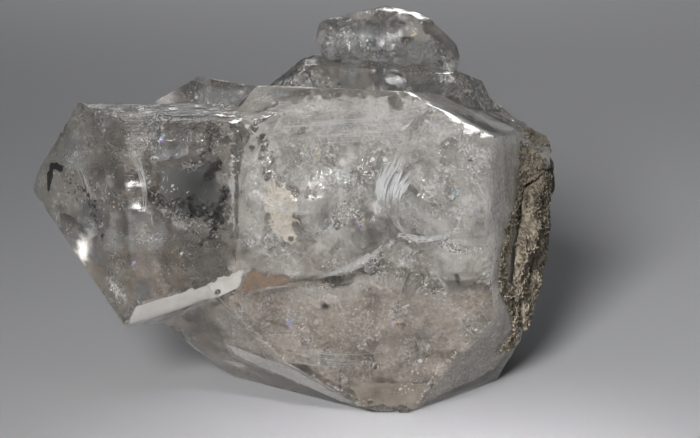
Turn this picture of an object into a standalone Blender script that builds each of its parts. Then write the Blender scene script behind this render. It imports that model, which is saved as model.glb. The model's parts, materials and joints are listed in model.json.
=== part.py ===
"""Herkimer diamond cluster: short, stout, water-clear quartz crystals grown through one another,
with a rough scab of the dolostone they grew in still clinging to the right side.

The crystals are one solid, because they grew as one.  Each crystal is a block of quartz
cut down by its faces.  A face is given the way a crystal drawing gives it: the direction
that it looks in and its distance from the middle of the crystal.
Work is in millimetres, X to the right, Y to the rear, Z up, on a floor at Z = 0.
At the end everything is moved so that the middle of its footprint is the origin.
"""
import math

import bmesh
import bpy
from mathutils import Euler, Matrix, Vector, noise

MM = 0.001          # metres in a millimetre
GAP = 0.35          # mm left between the crystals and the rock that holds them
BLOCK = 260.0       # mm, side of the block that a crystal is cut from

# ---------------------------------------------------------------- crystals and their faces
# Each face is (azimuth, elevation, distance): azimuth 0 looks to +X and -90 to the front,
# elevation is above the horizontal, and the distance is in mm from the crystal's middle.

MAIN_MIDDLE = (6, -4, 30)
MAIN_FACES = {
    "foot": (0, -90, 30), "top": (75, 80, 29.5),
    "front": (-91, 2, 41), "brow": (-95, 22, 44.3), "front upper": (-91, 43, 44),
    "front lower": (-90, -16, 39.5),
    "left lower": (-132, -51, 39), "left lower rear": (-134, -40, 41.5),
    "left foot": (163, -50, 41), "left heel": (-177, -47, 43),
    "right lower": (-39, -37, 38), "right heel": (5, -21, 33),
    "right": (-16, 2, 31.8), "right upper": (2, 65, 33), "right end": (0, -3, 31),
    "rear": (93, -4, 36), "rear upper": (88, 40, 34), "rear lower": (92, -38, 39),
    "rear left": (150, -5, 37.5), "rear right": (40, -3, 31),
    "left": (-165, 10, 43.5), "left upper": (175, 42, 40),
}

LEFT_MIDDLE = (-40, -20, 36)
LEFT_FACES = {
    "front": (-92, -3, 25.5), "front right": (-38, -2, 30), "front left": (-140, -4, 18),
    "front upper": (-90, 37, 34.5), "top": (-79, 88, 25.5), "top rear": (88, 67, 20.5),
    "left upper": (-148, 19, 23), "left upper rear": (160, 34, 23.5),
    "tip upper": (161, 26, 24), "tip lower": (-177, -31, 18.5),
    "left lower": (177, -43, 14), "left lower front": (-171, -38, 16.5),
    "front lower": (-75, -42, 25), "under": (-43, -65, 20),
    "rear": (80, 8, 25), "rear lower": (95, -42, 23), "rear right": (30, 0, 32.5),
    "root": (0, 0, 32),
}

MID_MIDDLE = (4, 2, 58)
MID_FACES = {
    "front": (-95, 22, 12.5), "left front": (-145, 52, 15), "left": (153, 44, 14),
    "top": (-66, 84, 8.5), "top rear": (62, 72, 7),
    "right": (-20, 30, 20.5), "right rear": (25, 28, 21.5), "rear": (90, 12, 20),
    "left end": (180, 0, 32), "root": (0, -90, 12),
}

REAR_MIDDLE = (-28, 10, 56)
REAR_FACES = {
    "front": (-82, 38, 8), "left": (150, 49, 5), "top": (64, 69, 3),
    "rear": (100, 20, 13.5), "rear lower": (105, -42, 15), "rear left": (150, -12, 13),
    "left end": (180, 0, 13), "left lower": (175, -40, 15),
    "right end": (0, 0, 19), "root": (0, -90, 20),
}

CROWN_MIDDLE = (8, 5, 69)
CROWN_FACES = {
    "front": (-92, 14, 8), "front lower": (-90, -40, 6.3), "front upper": (-95, 58, 7.5),
    "front left": (-133, 6, 12.5), "front right": (-62, 1, 9),
    "left upper": (126, 62, 7), "right upper": (52, 59, 6.5), "right": (33, 46, 7.5),
    "right end": (20, 19, 12), "right heel": (13, -6, 14.5),
    "left end": (162, 23, 13.5), "left heel": (169, -39, 11),
    "rear": (88, 6, 9), "rear lower": (88, -48, 9), "root": (180, -84, 7),
}

STEP_MIDDLE = (25, 6, 57)
STEP_FACES = {
    "front": (-70, 44, 3.5), "top": (47, 59, 3), "right": (18, 26, 3.5),
    "rear": (90, 20, 12.5), "left": (170, 20, 6), "root": (0, -90, 7),
}

LEDGE_MIDDLE = (28, 6, 54)
LEDGE_FACES = {
    "front": (-70, 40, 5), "top": (40, 51, 2), "right": (23, 29, 3.5),
    "rear": (95, 20, 13), "left": (170, 20, 4.5), "root": (0, -90, 6),
}

SHOULDER_MIDDLE = (32, -2, 50)
SHOULDER_FACES = {
    "front": (-62, 12, 13), "top": (2, 65, 3.2), "right": (8, 24, 9.2), "end": (0, 0, 9.3),
    "rear": (60, 8, 14), "rear lower": (70, -35, 15), "left": (180, 0, 12),
    "root": (-10, -62, 9),
}

CRYSTALS = {
    "main": (MAIN_MIDDLE, MAIN_FACES), "left": (LEFT_MIDDLE, LEFT_FACES),
    "mid": (MID_MIDDLE, MID_FACES), "rear": (REAR_MIDDLE, REAR_FACES),
    "crown": (CROWN_MIDDLE, CROWN_FACES), "step": (STEP_MIDDLE, STEP_FACES),
    "ledge": (LEDGE_MIDDLE, LEDGE_FACES), "shoulder": (SHOULDER_MIDDLE, SHOULDER_FACES),
}

# ---------------------------------------------------------------- lumpy upper front
# Lobes that swell out of the main crystal's upper front and meet in creases.  Each is
# (x, z, half-width, half-height, swell, turn): mm, then degrees in the plane of the front.

LOBE_FACES = ("front", "brow", "front upper")       # the faces that the lobes grow on
LOBE_STEP = 1.7             # mm, spacing of the net that carries the lobes
LOBE_FLOOR = 25.0           # mm, height below which the front stays flat
LOBE_ROUGH = 0.35           # mm, unevenness between and on the lobes
LOBES = {
    "left lobe": (-8, 43.4, 14, 13.6, 3.3, 18),
    "right lobe": (15.5, 45.5, 10.5, 10, 3.3, -15),
    "low lobe": (21.5, 32.2, 6.2, 5.6, 2.0, 10),
    "waist lobe": (3.5, 40.5, 8, 5.5, 2.2, 32),
    "brow lobe": (2, 54, 15, 4.6, 2.4, -6),
    "right brow lobe": (20, 54.5, 9, 5.5, 2.8, 14),
    "corner lobe": (26.5, 44, 6, 10, 2.2, 0),
    "inner lobe": (-18, 49, 7, 9, 2.6, 8),
    "inner low lobe": (-17.5, 36, 6.5, 6.5, 2.1, 24),
    "lip": (-14.5, 27.6, 9.5, 1.9, 1.5, 10),
    "upper ledge": (0, 58.8, 22, 1.5, 1.2, -2),
}

# ---------------------------------------------------------------- other lumps, and pits
# Each is an ellipsoid in mm: its middle, its three half-axes, and its turn about Y in degrees.

LUMPS = {
    "crown knob": ((-4.6, 0.6, 70.2), (2.3, 2.3, 2.1), 0),
}

PITS = {
    "fan break": ((8.6, -52.6, 49.6), (5.0, 7.4, 6.2), 25),
    "right break": ((31.5, -43.8, 37), (3.4, 5.0, 4.2), 0),
    "foot break": ((6, -41.2, 0.6), (10, 5.2, 6.6), 3),
    "edge chip upper": ((-52.5, -46.8, 45.5), (1.5, 1.7, 3.0), 8),
    "edge chip lower": ((-51.6, -46.6, 37), (1.3, 1.5, 2.2), 12),
    "tip chip": ((-64.6, -31.0, 51.0), (2.2, 2.0, 2.4), 30),
    "waist break": ((-20.5, -45.6, 60.8), (2.0, 3.4, 2.0), 30),
}

# ---------------------------------------------------------------- uneven rear
# Behind and below, the main crystal grew against others and has no clean faces.

REAR_BROAD_FACES = ("rear", "rear upper", "rear lower", "rear left")
REAR_STEP = 4.2             # mm, spacing of the net on the uneven faces
REAR_SWELL = 3.4            # mm, how far they rise and sink
REAR_GRAIN = 0.075          # swells for each mm

# ---------------------------------------------------------------- growth steps
# The left crystal's top and upper front are stepped: long low ridges that run left to right.

RIDGE_FACES = ("top", "front upper")
RIDGE_CUTS = (-41.6, -40.4, -39.0, -37.6, -36.0, -34.6, -32.6, -31.2, -29.0, -27.2, -25.0)
RIDGE_LENGTH = 7.5          # mm, spacing of the cuts across the ridges
RIDGE_HEIGHT = 0.35         # mm, between ridge and furrow

# ---------------------------------------------------------------- rock
ROCK_MIDDLE = (36, -8, 28)
ROCK_FACES = {
    "outer": (-20, -3, 5.1), "end": (0, 1, 6.4), "end lower": (-2, -9, 5.2),
    "end low": (-4, -24, 6.9), "front": (-82, 36, 14.5), "front low": (-84, -44, 18.5),
    "top": (-8, 60, 18.5), "rear": (60, 4, 20), "rear low": (80, -30, 26),
    "under": (0, -90, 25.5), "inner": (180, 0, 9),
}
ROCK_NEIGHBOURS = ("main", "mid", "step", "ledge", "shoulder")
ROCK_VOXEL = 2.1        # mm, size of the lumps' facets
ROCK_SWELL = 1.9        # mm, how far lumps stand out or sink
ROCK_GRAIN = 0.21       # lumps for each mm

QUARTZ_COLOUR = (0.62, 0.60, 0.56, 1)
QUARTZ_ROUGHNESS = 0.06
ROCK_COLOUR = (0.20, 0.17, 0.12, 1)
ROCK_ROUGHNESS = 0.85


def clear_scene():
    for old in list(bpy.data.objects):
        bpy.data.objects.remove(old, do_unlink=True)


def new_collection(name):
    group = bpy.data.collections.new(name)
    bpy.context.scene.collection.children.link(group)
    return group


def make_material(name, colour, roughness, transmission=0.0):
    material = bpy.data.materials.new(name)
    material.use_nodes = True
    shader = material.node_tree.nodes["Principled BSDF"]
    shader.inputs["Base Color"].default_value = colour
    shader.inputs["Roughness"].default_value = roughness
    shader.inputs["Metallic"].default_value = 0.0
    shader.inputs["Transmission Weight"].default_value = transmission
    return material


def make_object(name, mesh_data, group):
    """Wrap a bmesh held in millimetres as an object in metres."""
    bmesh.ops.transform(mesh_data, matrix=Matrix.Scale(MM, 4), verts=mesh_data.verts)
    bmesh.ops.recalc_face_normals(mesh_data, faces=mesh_data.faces)
    mesh = bpy.data.meshes.new(name)
    mesh_data.to_mesh(mesh)
    mesh_data.free()
    shape = bpy.data.objects.new(name, mesh)
    group.objects.link(shape)
    return shape


def make_cutter(name, mesh_data, group):
    shape = make_object(name, mesh_data, group)
    shape.hide_render = True
    shape.display_type = "WIRE"
    return shape


def facing(azimuth, elevation):
    """The unit vector that looks in a direction given in degrees."""
    turn, rise = math.radians(azimuth), math.radians(elevation)
    return Vector((math.cos(rise) * math.cos(turn), math.cos(rise) * math.sin(turn), math.sin(rise)))


def cut_block(middle, faces, grow=0.0):
    """A block cut down by every face of the table, each moved out by grow."""
    mesh_data = bmesh.new()
    bmesh.ops.create_cube(mesh_data, size=BLOCK, matrix=Matrix.Translation(middle))
    for azimuth, elevation, distance in faces.values():
        outward = facing(azimuth, elevation)
        everything = mesh_data.verts[:] + mesh_data.edges[:] + mesh_data.faces[:]
        cut = bmesh.ops.bisect_plane(
            mesh_data, geom=everything, dist=1e-5, clear_outer=True,
            plane_co=Vector(middle) + outward * (distance + grow), plane_no=outward)
        rim = [item for item in cut["geom_cut"] if isinstance(item, bmesh.types.BMEdge)]
        if rim:
            bmesh.ops.contextual_create(mesh_data, geom=rim)
    return mesh_data


def ellipsoid(middle, half_axes, turn, fineness=3):
    mesh_data = bmesh.new()
    stretch = Matrix.Diagonal([*half_axes, 1.0])
    lean = Euler((0, math.radians(turn), 0)).to_matrix().to_4x4()
    bmesh.ops.create_icosphere(mesh_data, subdivisions=fineness, radius=1.0,
                               matrix=Matrix.Translation(middle) @ lean @ stretch)
    return mesh_data


def face_towards(mesh_data, azimuth, elevation):
    """The one face of a cut block that looks in a direction."""
    mesh_data.normal_update()
    outward = facing(azimuth, elevation)
    return max(mesh_data.faces, key=lambda face: face.normal.dot(outward))


def slice_faces(mesh_data, faces, origin, direction):
    """Cut some of the faces along one plane, and return them with the new ones."""
    edges = {edge for face in faces for edge in face.edges}
    points = {point for face in faces for point in face.verts}
    cut = bmesh.ops.bisect_plane(mesh_data, geom=[*points, *edges, *faces], dist=1e-5,
                                 plane_co=origin, plane_no=direction)
    return [item for item in cut["geom"] if isinstance(item, bmesh.types.BMFace)]


def inner_points(faces):
    """The points that are surrounded by the given faces alone."""
    inside = set(faces)
    points = {point for face in faces for point in face.verts}
    return [point for point in points if all(face in inside for face in point.link_faces)]


def steps_between(low, high, step):
    count = int((high - low) / step)
    return [low + step * (index + 0.5) for index in range(count)]


def lobe_swell(x, z):
    """How far the lumpy front stands out at a place: the highest lobe there wins."""
    swell = 0.0
    for centre_x, centre_z, half_width, half_height, height, turn in LOBES.values():
        lean = math.radians(turn)
        across = (x - centre_x) * math.cos(lean) + (z - centre_z) * math.sin(lean)
        along = (z - centre_z) * math.cos(lean) - (x - centre_x) * math.sin(lean)
        reach = (across / half_width) ** 2 + (along / half_height) ** 2
        if reach < 1:
            swell = max(swell, height * (1 - reach) ** 0.6)
    return swell


def swell_front(mesh_data):
    """Turn the main crystal's upper front into a net and push its lobes out."""
    faces = [face_towards(mesh_data, *MAIN_FACES[name][:2]) for name in LOBE_FACES]
    points = [point.co for face in faces for point in face.verts]
    across = (min(point.x for point in points), max(point.x for point in points))
    upward = (min(point.z for point in points), max(point.z for point in points))
    for x in steps_between(*across, LOBE_STEP):
        faces = slice_faces(mesh_data, faces, (x, 0, 0), (1, 0, 0))
    for z in steps_between(*upward, LOBE_STEP):
        faces = slice_faces(mesh_data, faces, (0, 0, z), (0, 0, 1))
    for point in inner_points(faces):
        x, z = point.co.x, point.co.z
        if z > LOBE_FLOOR:
            uneven = LOBE_ROUGH * noise.noise(point.co * 0.3)
            point.co.y -= lobe_swell(x, z) + uneven


def swell_rear(mesh_data):
    """Turn the main crystal's rear into a coarse net and let it rise and sink."""
    faces = [face_towards(mesh_data, *MAIN_FACES[name][:2]) for name in REAR_BROAD_FACES]
    points = [point.co for face in faces for point in face.verts]
    for axis in (0, 2):
        direction = Vector((axis == 0, 0, axis == 2))
        reach = [point[axis] for point in points]
        for place in steps_between(min(reach), max(reach), REAR_STEP):
            faces = slice_faces(mesh_data, faces, direction * place, direction)
    mesh_data.normal_update()
    for point in inner_points(faces):
        point.co += point.normal * REAR_SWELL * noise.noise(point.co * REAR_GRAIN)


def ridge_top(mesh_data):
    """Cut the left crystal's stepped faces into strips and raise every other one."""
    faces = [face_towards(mesh_data, *LEFT_FACES[name][:2]) for name in RIDGE_FACES]
    reach = [point.co.x for face in faces for point in face.verts]
    for x in steps_between(min(reach), max(reach), RIDGE_LENGTH):
        faces = slice_faces(mesh_data, faces, (x, 0, 0), (1, 0, 0))
    for y in RIDGE_CUTS:
        faces = slice_faces(mesh_data, faces, (0, y, 0), (0.05, 1, 0))
    mesh_data.normal_update()
    for point in inner_points(faces):
        row = min(range(len(RIDGE_CUTS)), key=lambda index: abs(RIDGE_CUTS[index] - point.co.y))
        uneven = 0.5 + 0.5 * noise.noise(point.co * 0.2)
        point.co += point.normal * RIDGE_HEIGHT * uneven * (1 if row % 2 else -1)


def combine(target, other, operation):
    step = target.modifiers.new(f"{operation.lower()} {other.name}", "BOOLEAN")
    step.operation = operation
    step.solver = "EXACT"
    step.object = other


def crystal(name):
    """One crystal of the cluster, with the relief of its own faces."""
    mesh_data = cut_block(*CRYSTALS[name])
    if name == "main":
        swell_front(mesh_data)
        swell_rear(mesh_data)
    if name == "left":
        ridge_top(mesh_data)
    return mesh_data


def quartz_crystals(group, cutters):
    """The intergrown crystals: their blocks and lumps joined, then the breaks taken out."""
    first, *others = CRYSTALS
    cluster = make_object("quartz_crystals", crystal(first), group)
    for name in others:
        combine(cluster, make_cutter(f"crystal {name}", crystal(name), cutters), "UNION")
    for name, form in LUMPS.items():
        combine(cluster, make_cutter(f"lump {name}", ellipsoid(*form), cutters), "UNION")
    for name, form in PITS.items():
        combine(cluster, make_cutter(f"pit {name}", ellipsoid(*form), cutters), "DIFFERENCE")
    return cluster


def roughen(mesh_data):
    """Push every point of the rock in or out by smooth noise, in two sizes of lump."""
    mesh_data.normal_update()
    for point in mesh_data.verts:
        spot = point.co * ROCK_GRAIN
        push = noise.noise(spot) + 0.4 * noise.noise(spot * 2.3 + Vector((7, 3, 1)))
        point.co += point.normal * ROCK_SWELL * push


def remeshed(mesh_data, voxel):
    """The same form again as an even net of small facets."""
    mesh = bpy.data.meshes.new("net")
    mesh_data.to_mesh(mesh)
    mesh_data.free()
    carrier = bpy.data.objects.new("net", mesh)
    bpy.context.scene.collection.objects.link(carrier)
    step = carrier.modifiers.new("net", "REMESH")
    step.mode = "VOXEL"
    step.voxel_size = voxel
    done = carrier.evaluated_get(bpy.context.evaluated_depsgraph_get()).to_mesh()
    result = bmesh.new()
    result.from_mesh(done)
    bpy.data.objects.remove(carrier)
    bmesh.ops.triangulate(result, faces=result.faces)
    return result


def body_around(start):
    """Every face that can be reached from one face across shared edges."""
    found, waiting = {start}, [start]
    while waiting:
        for edge in waiting.pop().edges:
            fresh = [face for face in edge.link_faces if face not in found]
            found.update(fresh)
            waiting += fresh
    return found


def keep_largest_body(shape):
    """Work out the shape's modifiers and drop the crumbs that they cut loose."""
    graph = bpy.context.evaluated_depsgraph_get()
    mesh_data = bmesh.new()
    mesh_data.from_mesh(shape.evaluated_get(graph).to_mesh())
    left, largest = set(mesh_data.faces), set()
    while left:
        body = body_around(next(iter(left)))
        left -= body
        largest = max(largest, body, key=len)
    crumbs = [face for face in mesh_data.faces if face not in largest]
    bmesh.ops.delete(mesh_data, geom=crumbs, context="FACES")
    shape.modifiers.clear()
    mesh_data.to_mesh(shape.data)
    mesh_data.free()


def dolostone_rock(group, cutters):
    """The scab of rock, hollowed where the crystals stand in it."""
    net = remeshed(cut_block(ROCK_MIDDLE, ROCK_FACES), ROCK_VOXEL)
    roughen(net)
    rock = make_object("dolostone_rock", net, group)
    for name in ROCK_NEIGHBOURS:
        middle, faces = CRYSTALS[name]
        socket = make_cutter(f"socket {name}", cut_block(middle, faces, GAP), cutters)
        combine(rock, socket, "DIFFERENCE")
    keep_largest_body(rock)
    return rock


def stand_on_origin(pieces, cutters):
    """Move everything so that the middle of the cluster's footprint is the origin."""
    bpy.context.view_layer.update()
    graph = bpy.context.evaluated_depsgraph_get()
    points = []
    for piece in pieces:
        mesh = piece.evaluated_get(graph).to_mesh()
        points += [point.co.copy() for point in mesh.vertices]
    low = Vector([min(point[axis] for point in points) for axis in range(3)])
    high = Vector([max(point[axis] for point in points) for axis in range(3)])
    shift = -Vector(((low.x + high.x) / 2, (low.y + high.y) / 2, low.z))
    for piece in pieces + list(cutters.objects):
        piece.location = shift
    print("size in mm", [round(side / MM, 2) for side in high - low])
    print("shift in mm", [round(side / MM, 2) for side in shift])


def main():
    clear_scene()
    group = new_collection("herkimer diamond cluster")
    cutters = new_collection("cutters")
    crystals = quartz_crystals(group, cutters)
    crystals.data.materials.append(
        make_material("clear quartz", QUARTZ_COLOUR, QUARTZ_ROUGHNESS, transmission=1.0))
    rock = dolostone_rock(group, cutters)
    rock.data.materials.append(make_material("dolostone", ROCK_COLOUR, ROCK_ROUGHNESS))
    stand_on_origin([crystals, rock], cutters)


main()
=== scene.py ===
# %% [markdown]
# # A Herkimer diamond cluster
# Herkimer diamonds are short, stout quartz crystals, clear as water, that grew in small
# hollows of dolostone rock.  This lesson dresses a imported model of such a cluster.  The
# frame holds two solids: the crystals, which grew through one another and are one piece,
# and a scab of rough rock that still clings to them.  The lesson makes the fine surface
# of both, then the veils, cracks and dark specks inside the quartz, and then lights it.

# %% Load the frame
import json
import math

import bmesh
import bpy
import numpy as np
from mathutils import Euler, Matrix, Vector, noise
from mathutils.bvhtree import BVHTree

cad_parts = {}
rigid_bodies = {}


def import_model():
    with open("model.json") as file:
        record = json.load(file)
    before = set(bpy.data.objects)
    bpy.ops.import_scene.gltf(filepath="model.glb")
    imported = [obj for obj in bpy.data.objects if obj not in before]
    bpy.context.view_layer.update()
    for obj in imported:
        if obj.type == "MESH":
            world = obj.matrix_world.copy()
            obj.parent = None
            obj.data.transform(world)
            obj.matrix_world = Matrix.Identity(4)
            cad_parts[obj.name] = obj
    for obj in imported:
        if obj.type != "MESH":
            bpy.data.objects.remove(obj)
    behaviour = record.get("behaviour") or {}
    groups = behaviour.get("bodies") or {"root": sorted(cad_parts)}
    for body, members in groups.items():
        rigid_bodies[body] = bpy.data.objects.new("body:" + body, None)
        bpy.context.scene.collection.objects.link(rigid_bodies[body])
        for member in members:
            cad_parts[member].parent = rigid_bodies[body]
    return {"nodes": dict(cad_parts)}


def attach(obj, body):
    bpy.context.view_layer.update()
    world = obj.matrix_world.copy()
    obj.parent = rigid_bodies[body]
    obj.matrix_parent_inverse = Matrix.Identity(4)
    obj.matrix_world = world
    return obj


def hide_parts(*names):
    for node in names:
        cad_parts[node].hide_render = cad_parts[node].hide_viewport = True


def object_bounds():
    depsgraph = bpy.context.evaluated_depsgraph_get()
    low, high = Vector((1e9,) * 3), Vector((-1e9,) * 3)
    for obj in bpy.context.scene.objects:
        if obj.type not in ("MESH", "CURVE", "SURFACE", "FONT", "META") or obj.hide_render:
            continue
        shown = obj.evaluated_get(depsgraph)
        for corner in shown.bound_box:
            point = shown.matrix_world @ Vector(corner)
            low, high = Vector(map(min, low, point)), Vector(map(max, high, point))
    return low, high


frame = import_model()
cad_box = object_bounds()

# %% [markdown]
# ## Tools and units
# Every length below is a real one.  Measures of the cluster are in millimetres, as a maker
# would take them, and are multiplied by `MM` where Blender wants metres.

MM = 0.001
scene = bpy.context.scene
low, high = (Vector(corner) for corner in cad_box)
print("frame box in mm", [round(side / MM, 1) for side in high - low])

# %% [markdown]
# ## A small language for shaders
# A shader graph is a formula.  Wrapping a socket in a class with arithmetic lets a finish
# be written as one: `bump * 0.5 + grain` adds the Math nodes by itself.  Any other node
# comes from one method, which sets the node's own settings first and then its inputs.

# %% The formula class
class Value:
    """One output of a shader graph, to be used in a formula like a number."""

    def __init__(self, graph, output):
        self.graph, self.output = graph, output

    def maths(self, operation, *values, **settings):
        """A Math node on the given values."""
        return self.graph.node("ShaderNodeMath", {"operation": operation, **settings}, *values)

    def __add__(self, other):
        return self.maths("ADD", self, other)

    def __radd__(self, other):
        return self.maths("ADD", other, self)

    def __sub__(self, other):
        return self.maths("SUBTRACT", self, other)

    def __rsub__(self, other):
        return self.maths("SUBTRACT", other, self)

    def __mul__(self, other):
        return self.maths("MULTIPLY", self, other)

    def __rmul__(self, other):
        return self.maths("MULTIPLY", other, self)

    def absolute(self):
        return self.maths("ABSOLUTE", self)

    def or_larger(self, other):
        return self.maths("MAXIMUM", self, other)

    def above(self, edge, soft=0.05):
        """0 below an edge and 1 above it, with a soft step between."""
        return self.maths("DIVIDE", self - (edge - soft), 2 * soft, use_clamp=True)


print("formula class ready")

# %% The graph and finish classes
def socket(sockets, key):
    """A socket by its place, its name or its identifier, which tells a Mix node's apart."""
    if isinstance(key, int):
        return sockets[key]
    spaced = key.replace("_", " ")
    return next(found for found in sockets if key == found.identifier or spaced == found.name)


class Graph:
    """A tree of nodes that are added by calls."""

    def __init__(self, tree):
        self.tree = tree

    def node(self, kind, settings=(), *values, out=0, **named):
        """Add a node: its settings, then its inputs in order or by name, then pick an output."""
        made = self.tree.nodes.new(kind)
        for key, setting in dict(settings).items():
            if key == "stops":
                for stop, colour in zip(made.color_ramp.elements, setting):
                    stop.color = colour
            else:
                setattr(made, key, setting)
        self.feed(made, **{f"_{index}": value for index, value in enumerate(values)}, **named)
        return Value(self, socket(made.outputs, out))

    def feed(self, node, **named):
        """Give sockets of a node a value or a link, by name, or by place as in _0."""
        for key, value in named.items():
            place = socket(node.inputs, int(key[1:]) if key[0] == "_" else key)
            if isinstance(value, Value):
                self.tree.links.new(value.output, place)
            else:
                place.default_value = value


class Finish(Graph):
    """A material whose surface is a Principled shader."""

    def __init__(self, name):
        self.material = bpy.data.materials.new(name)
        self.material.use_nodes = True
        super().__init__(self.material.node_tree)
        self.shader = self.tree.nodes["Principled BSDF"]
        self.place = self.node("ShaderNodeTexCoord", out="Object")

    def grain(self, scale, detail=3.0, roughness=0.55, stretch=(1, 1, 1)):
        """Soft noise, from 0 to 1, with so many lumps for each metre."""
        place = self.node("ShaderNodeVectorMath", {"operation": "MULTIPLY"}, self.place, stretch)
        return self.node("ShaderNodeTexNoise", (), place, Scale=scale, Detail=detail,
                         Roughness=roughness)

    def cells(self, scale):
        """The distance to the middle of the nearest cell."""
        return self.node("ShaderNodeTexVoronoi", {"feature": "F1"}, self.place, Scale=scale)

    def height(self):
        return self.node("ShaderNodeSeparateXYZ", (), self.place, out="Z")

    def blend(self, factor, first, second):
        """Mix two colours by a factor."""
        return self.node("ShaderNodeMix", {"data_type": "RGBA"}, out="Result_Color",
                         Factor_Float=factor, A_Color=first, B_Color=second)

    def surface(self, **named):
        self.feed(self.shader, **named)

    def relief(self, height, distance, strength=1.0):
        """Turn a height into a bent normal on the surface."""
        bump = self.node("ShaderNodeBump", (), Strength=strength, Distance=distance, Height=height)
        self.surface(Normal=bump)


print("shader classes ready")

# %% [markdown]
# ## Clear quartz
# Quartz is colourless glass to the eye: light goes in, bends by its index of 1.544 and
# comes out again.  The faint smoky tint is absorption, so it belongs in the volume and
# deepens where the crystal is thick.  The faces carry growth lines finer than the mesh, so
# those are left to a bump, and a patchy roughness keeps the gloss from looking moulded.

# %% The clear quartz finish
QUARTZ_INDEX = 1.544
SMOKE_COLOUR = (0.82, 0.70, 0.58, 1)
SMOKE_DENSITY = 9.0         # for each metre of path


def clear_quartz():
    finish = Finish("clear quartz")
    fine = finish.grain(1500, 4.0, 0.6)
    broad = finish.grain(120)
    lines = finish.grain(260, 3.0, 0.5, stretch=(0.25, 0.25, 2.2))
    finish.surface(Base_Color=(1, 1, 1, 1), Roughness=0.01 + 0.09 * (broad * fine),
                   IOR=QUARTZ_INDEX, Transmission_Weight=1.0)
    finish.relief(lines * 0.4 + fine * 0.6, 0.00014)
    smoke = finish.node("ShaderNodeVolumeAbsorption", (), Color=SMOKE_COLOUR,
                        Density=SMOKE_DENSITY)
    finish.feed(finish.tree.nodes["Material Output"], Volume=smoke)
    return finish.material


quartz = clear_quartz()
print("finish", quartz.name)

# %% [markdown]
# ## Rough dolostone
# The host rock is a brown-grey carbonate of sand-sized grains.  Grain shows as small
# cells, each a little lighter or darker, with dark pores between them and rusty stains
# in broad patches, so the colour is built from one noise for each of those three sizes.
# Towards the top the colour of the scab turns darker.

# %% The dolostone finish
BROWN_STONE, RUSTY_STONE = (0.034, 0.028, 0.0205, 1), (0.074, 0.061, 0.044, 1)
PALE_GRAIN, DARK_PORE = (0.128, 0.110, 0.085, 1), (0.014, 0.011, 0.008, 1)
DARKER_TOP_STONE = (0.017, 0.015, 0.012, 1)
DARKER_TOP_HEIGHT, DARKER_TOP_FADE = 0.050, 0.014       # metres above the floor


def rough_dolostone():
    finish = Finish("dolostone")
    grains = finish.cells(1500)
    pores = finish.grain(620, 5.0, 0.7)
    stain = finish.grain(90, 4.0, 0.6)
    # the colour turns darker towards the top
    darker_top = (finish.height() + 0.03 * stain).above(DARKER_TOP_HEIGHT, DARKER_TOP_FADE)
    body = finish.blend(stain.above(0.5, 0.12), BROWN_STONE, RUSTY_STONE)
    body = finish.blend(grains.above(0.34, 0.25), body, PALE_GRAIN)
    body = finish.blend(darker_top * 0.72, body, DARKER_TOP_STONE)
    body = finish.blend(pores.above(0.56, 0.08), body, DARK_PORE)
    finish.surface(Base_Color=body, Roughness=0.78 + 0.2 * pores, Specular_IOR_Level=0.15)
    finish.relief(grains * 0.6 + pores * -1.0, 0.0006, 0.9)
    return finish.material


dolostone = rough_dolostone()
print("finish", dolostone.name)

# %% [markdown]
# ## From coarse solid to fine mesh
# The solids of the frame are faceted.  Their large faces are true crystal faces and have
# to stay dead flat, while the nets of small facets stand for rounded, broken or rough
# surfaces.  So each point is marked by how large the facets around it are, the mesh is
# split until no edge is long, and only the points of the small facets are relaxed.

# %% Splitting a solid
SMALL_FACET = 14.0 * MM * MM        # square metres, the largest facet of a rounded surface
SAME_POINT = 1e-6                   # metres, points closer than this are one
NO_LENGTH = 2e-5                    # metres, shorter edges are taken out
SPLIT_ROUNDS = 8


def triangulate(mesh_data, method="BEAUTY"):
    faces = [face for face in mesh_data.faces if len(face.verts) > 3]
    bmesh.ops.triangulate(mesh_data, faces=faces, quad_method=method)


def fine_copy(node, rounded_edge, flat_edge):
    """A copy of a frame solid, split until no edge is longer than the given mm.

    With it comes a mask of its points, 1 on rounded parts and 0 on flat faces.
    """
    mesh_data = bmesh.new()
    mesh_data.from_mesh(frame["nodes"][node].data)
    bmesh.ops.remove_doubles(mesh_data, verts=mesh_data.verts, dist=SAME_POINT)
    bmesh.ops.dissolve_degenerate(mesh_data, dist=NO_LENGTH, edges=mesh_data.edges)
    rounded = mesh_data.verts.layers.float.new("rounded")
    for point in mesh_data.verts:
        small = [face.calc_area() < SMALL_FACET for face in point.link_faces]
        point[rounded] = float(all(small))
    for _ in range(SPLIT_ROUNDS):
        triangulate(mesh_data, "SHORT_EDGE")
        long_edges = []
        for edge in mesh_data.edges:
            soft = edge.verts[0][rounded] + edge.verts[1][rounded] > 0.5
            if edge.calc_length() > (rounded_edge if soft else flat_edge) * MM:
                long_edges.append(edge)
        if not long_edges:
            break
        bmesh.ops.subdivide_edges(mesh_data, edges=long_edges, cuts=1)
    triangulate(mesh_data)
    mask = np.array([point[rounded] for point in mesh_data.verts])
    mesh = bpy.data.meshes.new(node + " fine")
    mesh_data.to_mesh(mesh)
    mesh_data.free()
    return mesh, mask


quartz_mesh, quartz_mask = fine_copy("quartz_crystals", rounded_edge=0.66, flat_edge=3.2)
rock_mesh, rock_mask = fine_copy("dolostone_rock", rounded_edge=0.55, flat_edge=1.4)
print("quartz points", len(quartz_mask), "rounded", int((quartz_mask > 0.5).sum()))
print("rock points", len(rock_mask))

# %% Relaxing the rounded parts
RELAX_SHARE = 0.6


def read_points(mesh):
    points = np.empty(len(mesh.vertices) * 3)
    mesh.vertices.foreach_get("co", points)
    return points.reshape(-1, 3)


def write_points(mesh, points):
    mesh.vertices.foreach_set("co", points.ravel())
    mesh.update()


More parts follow.
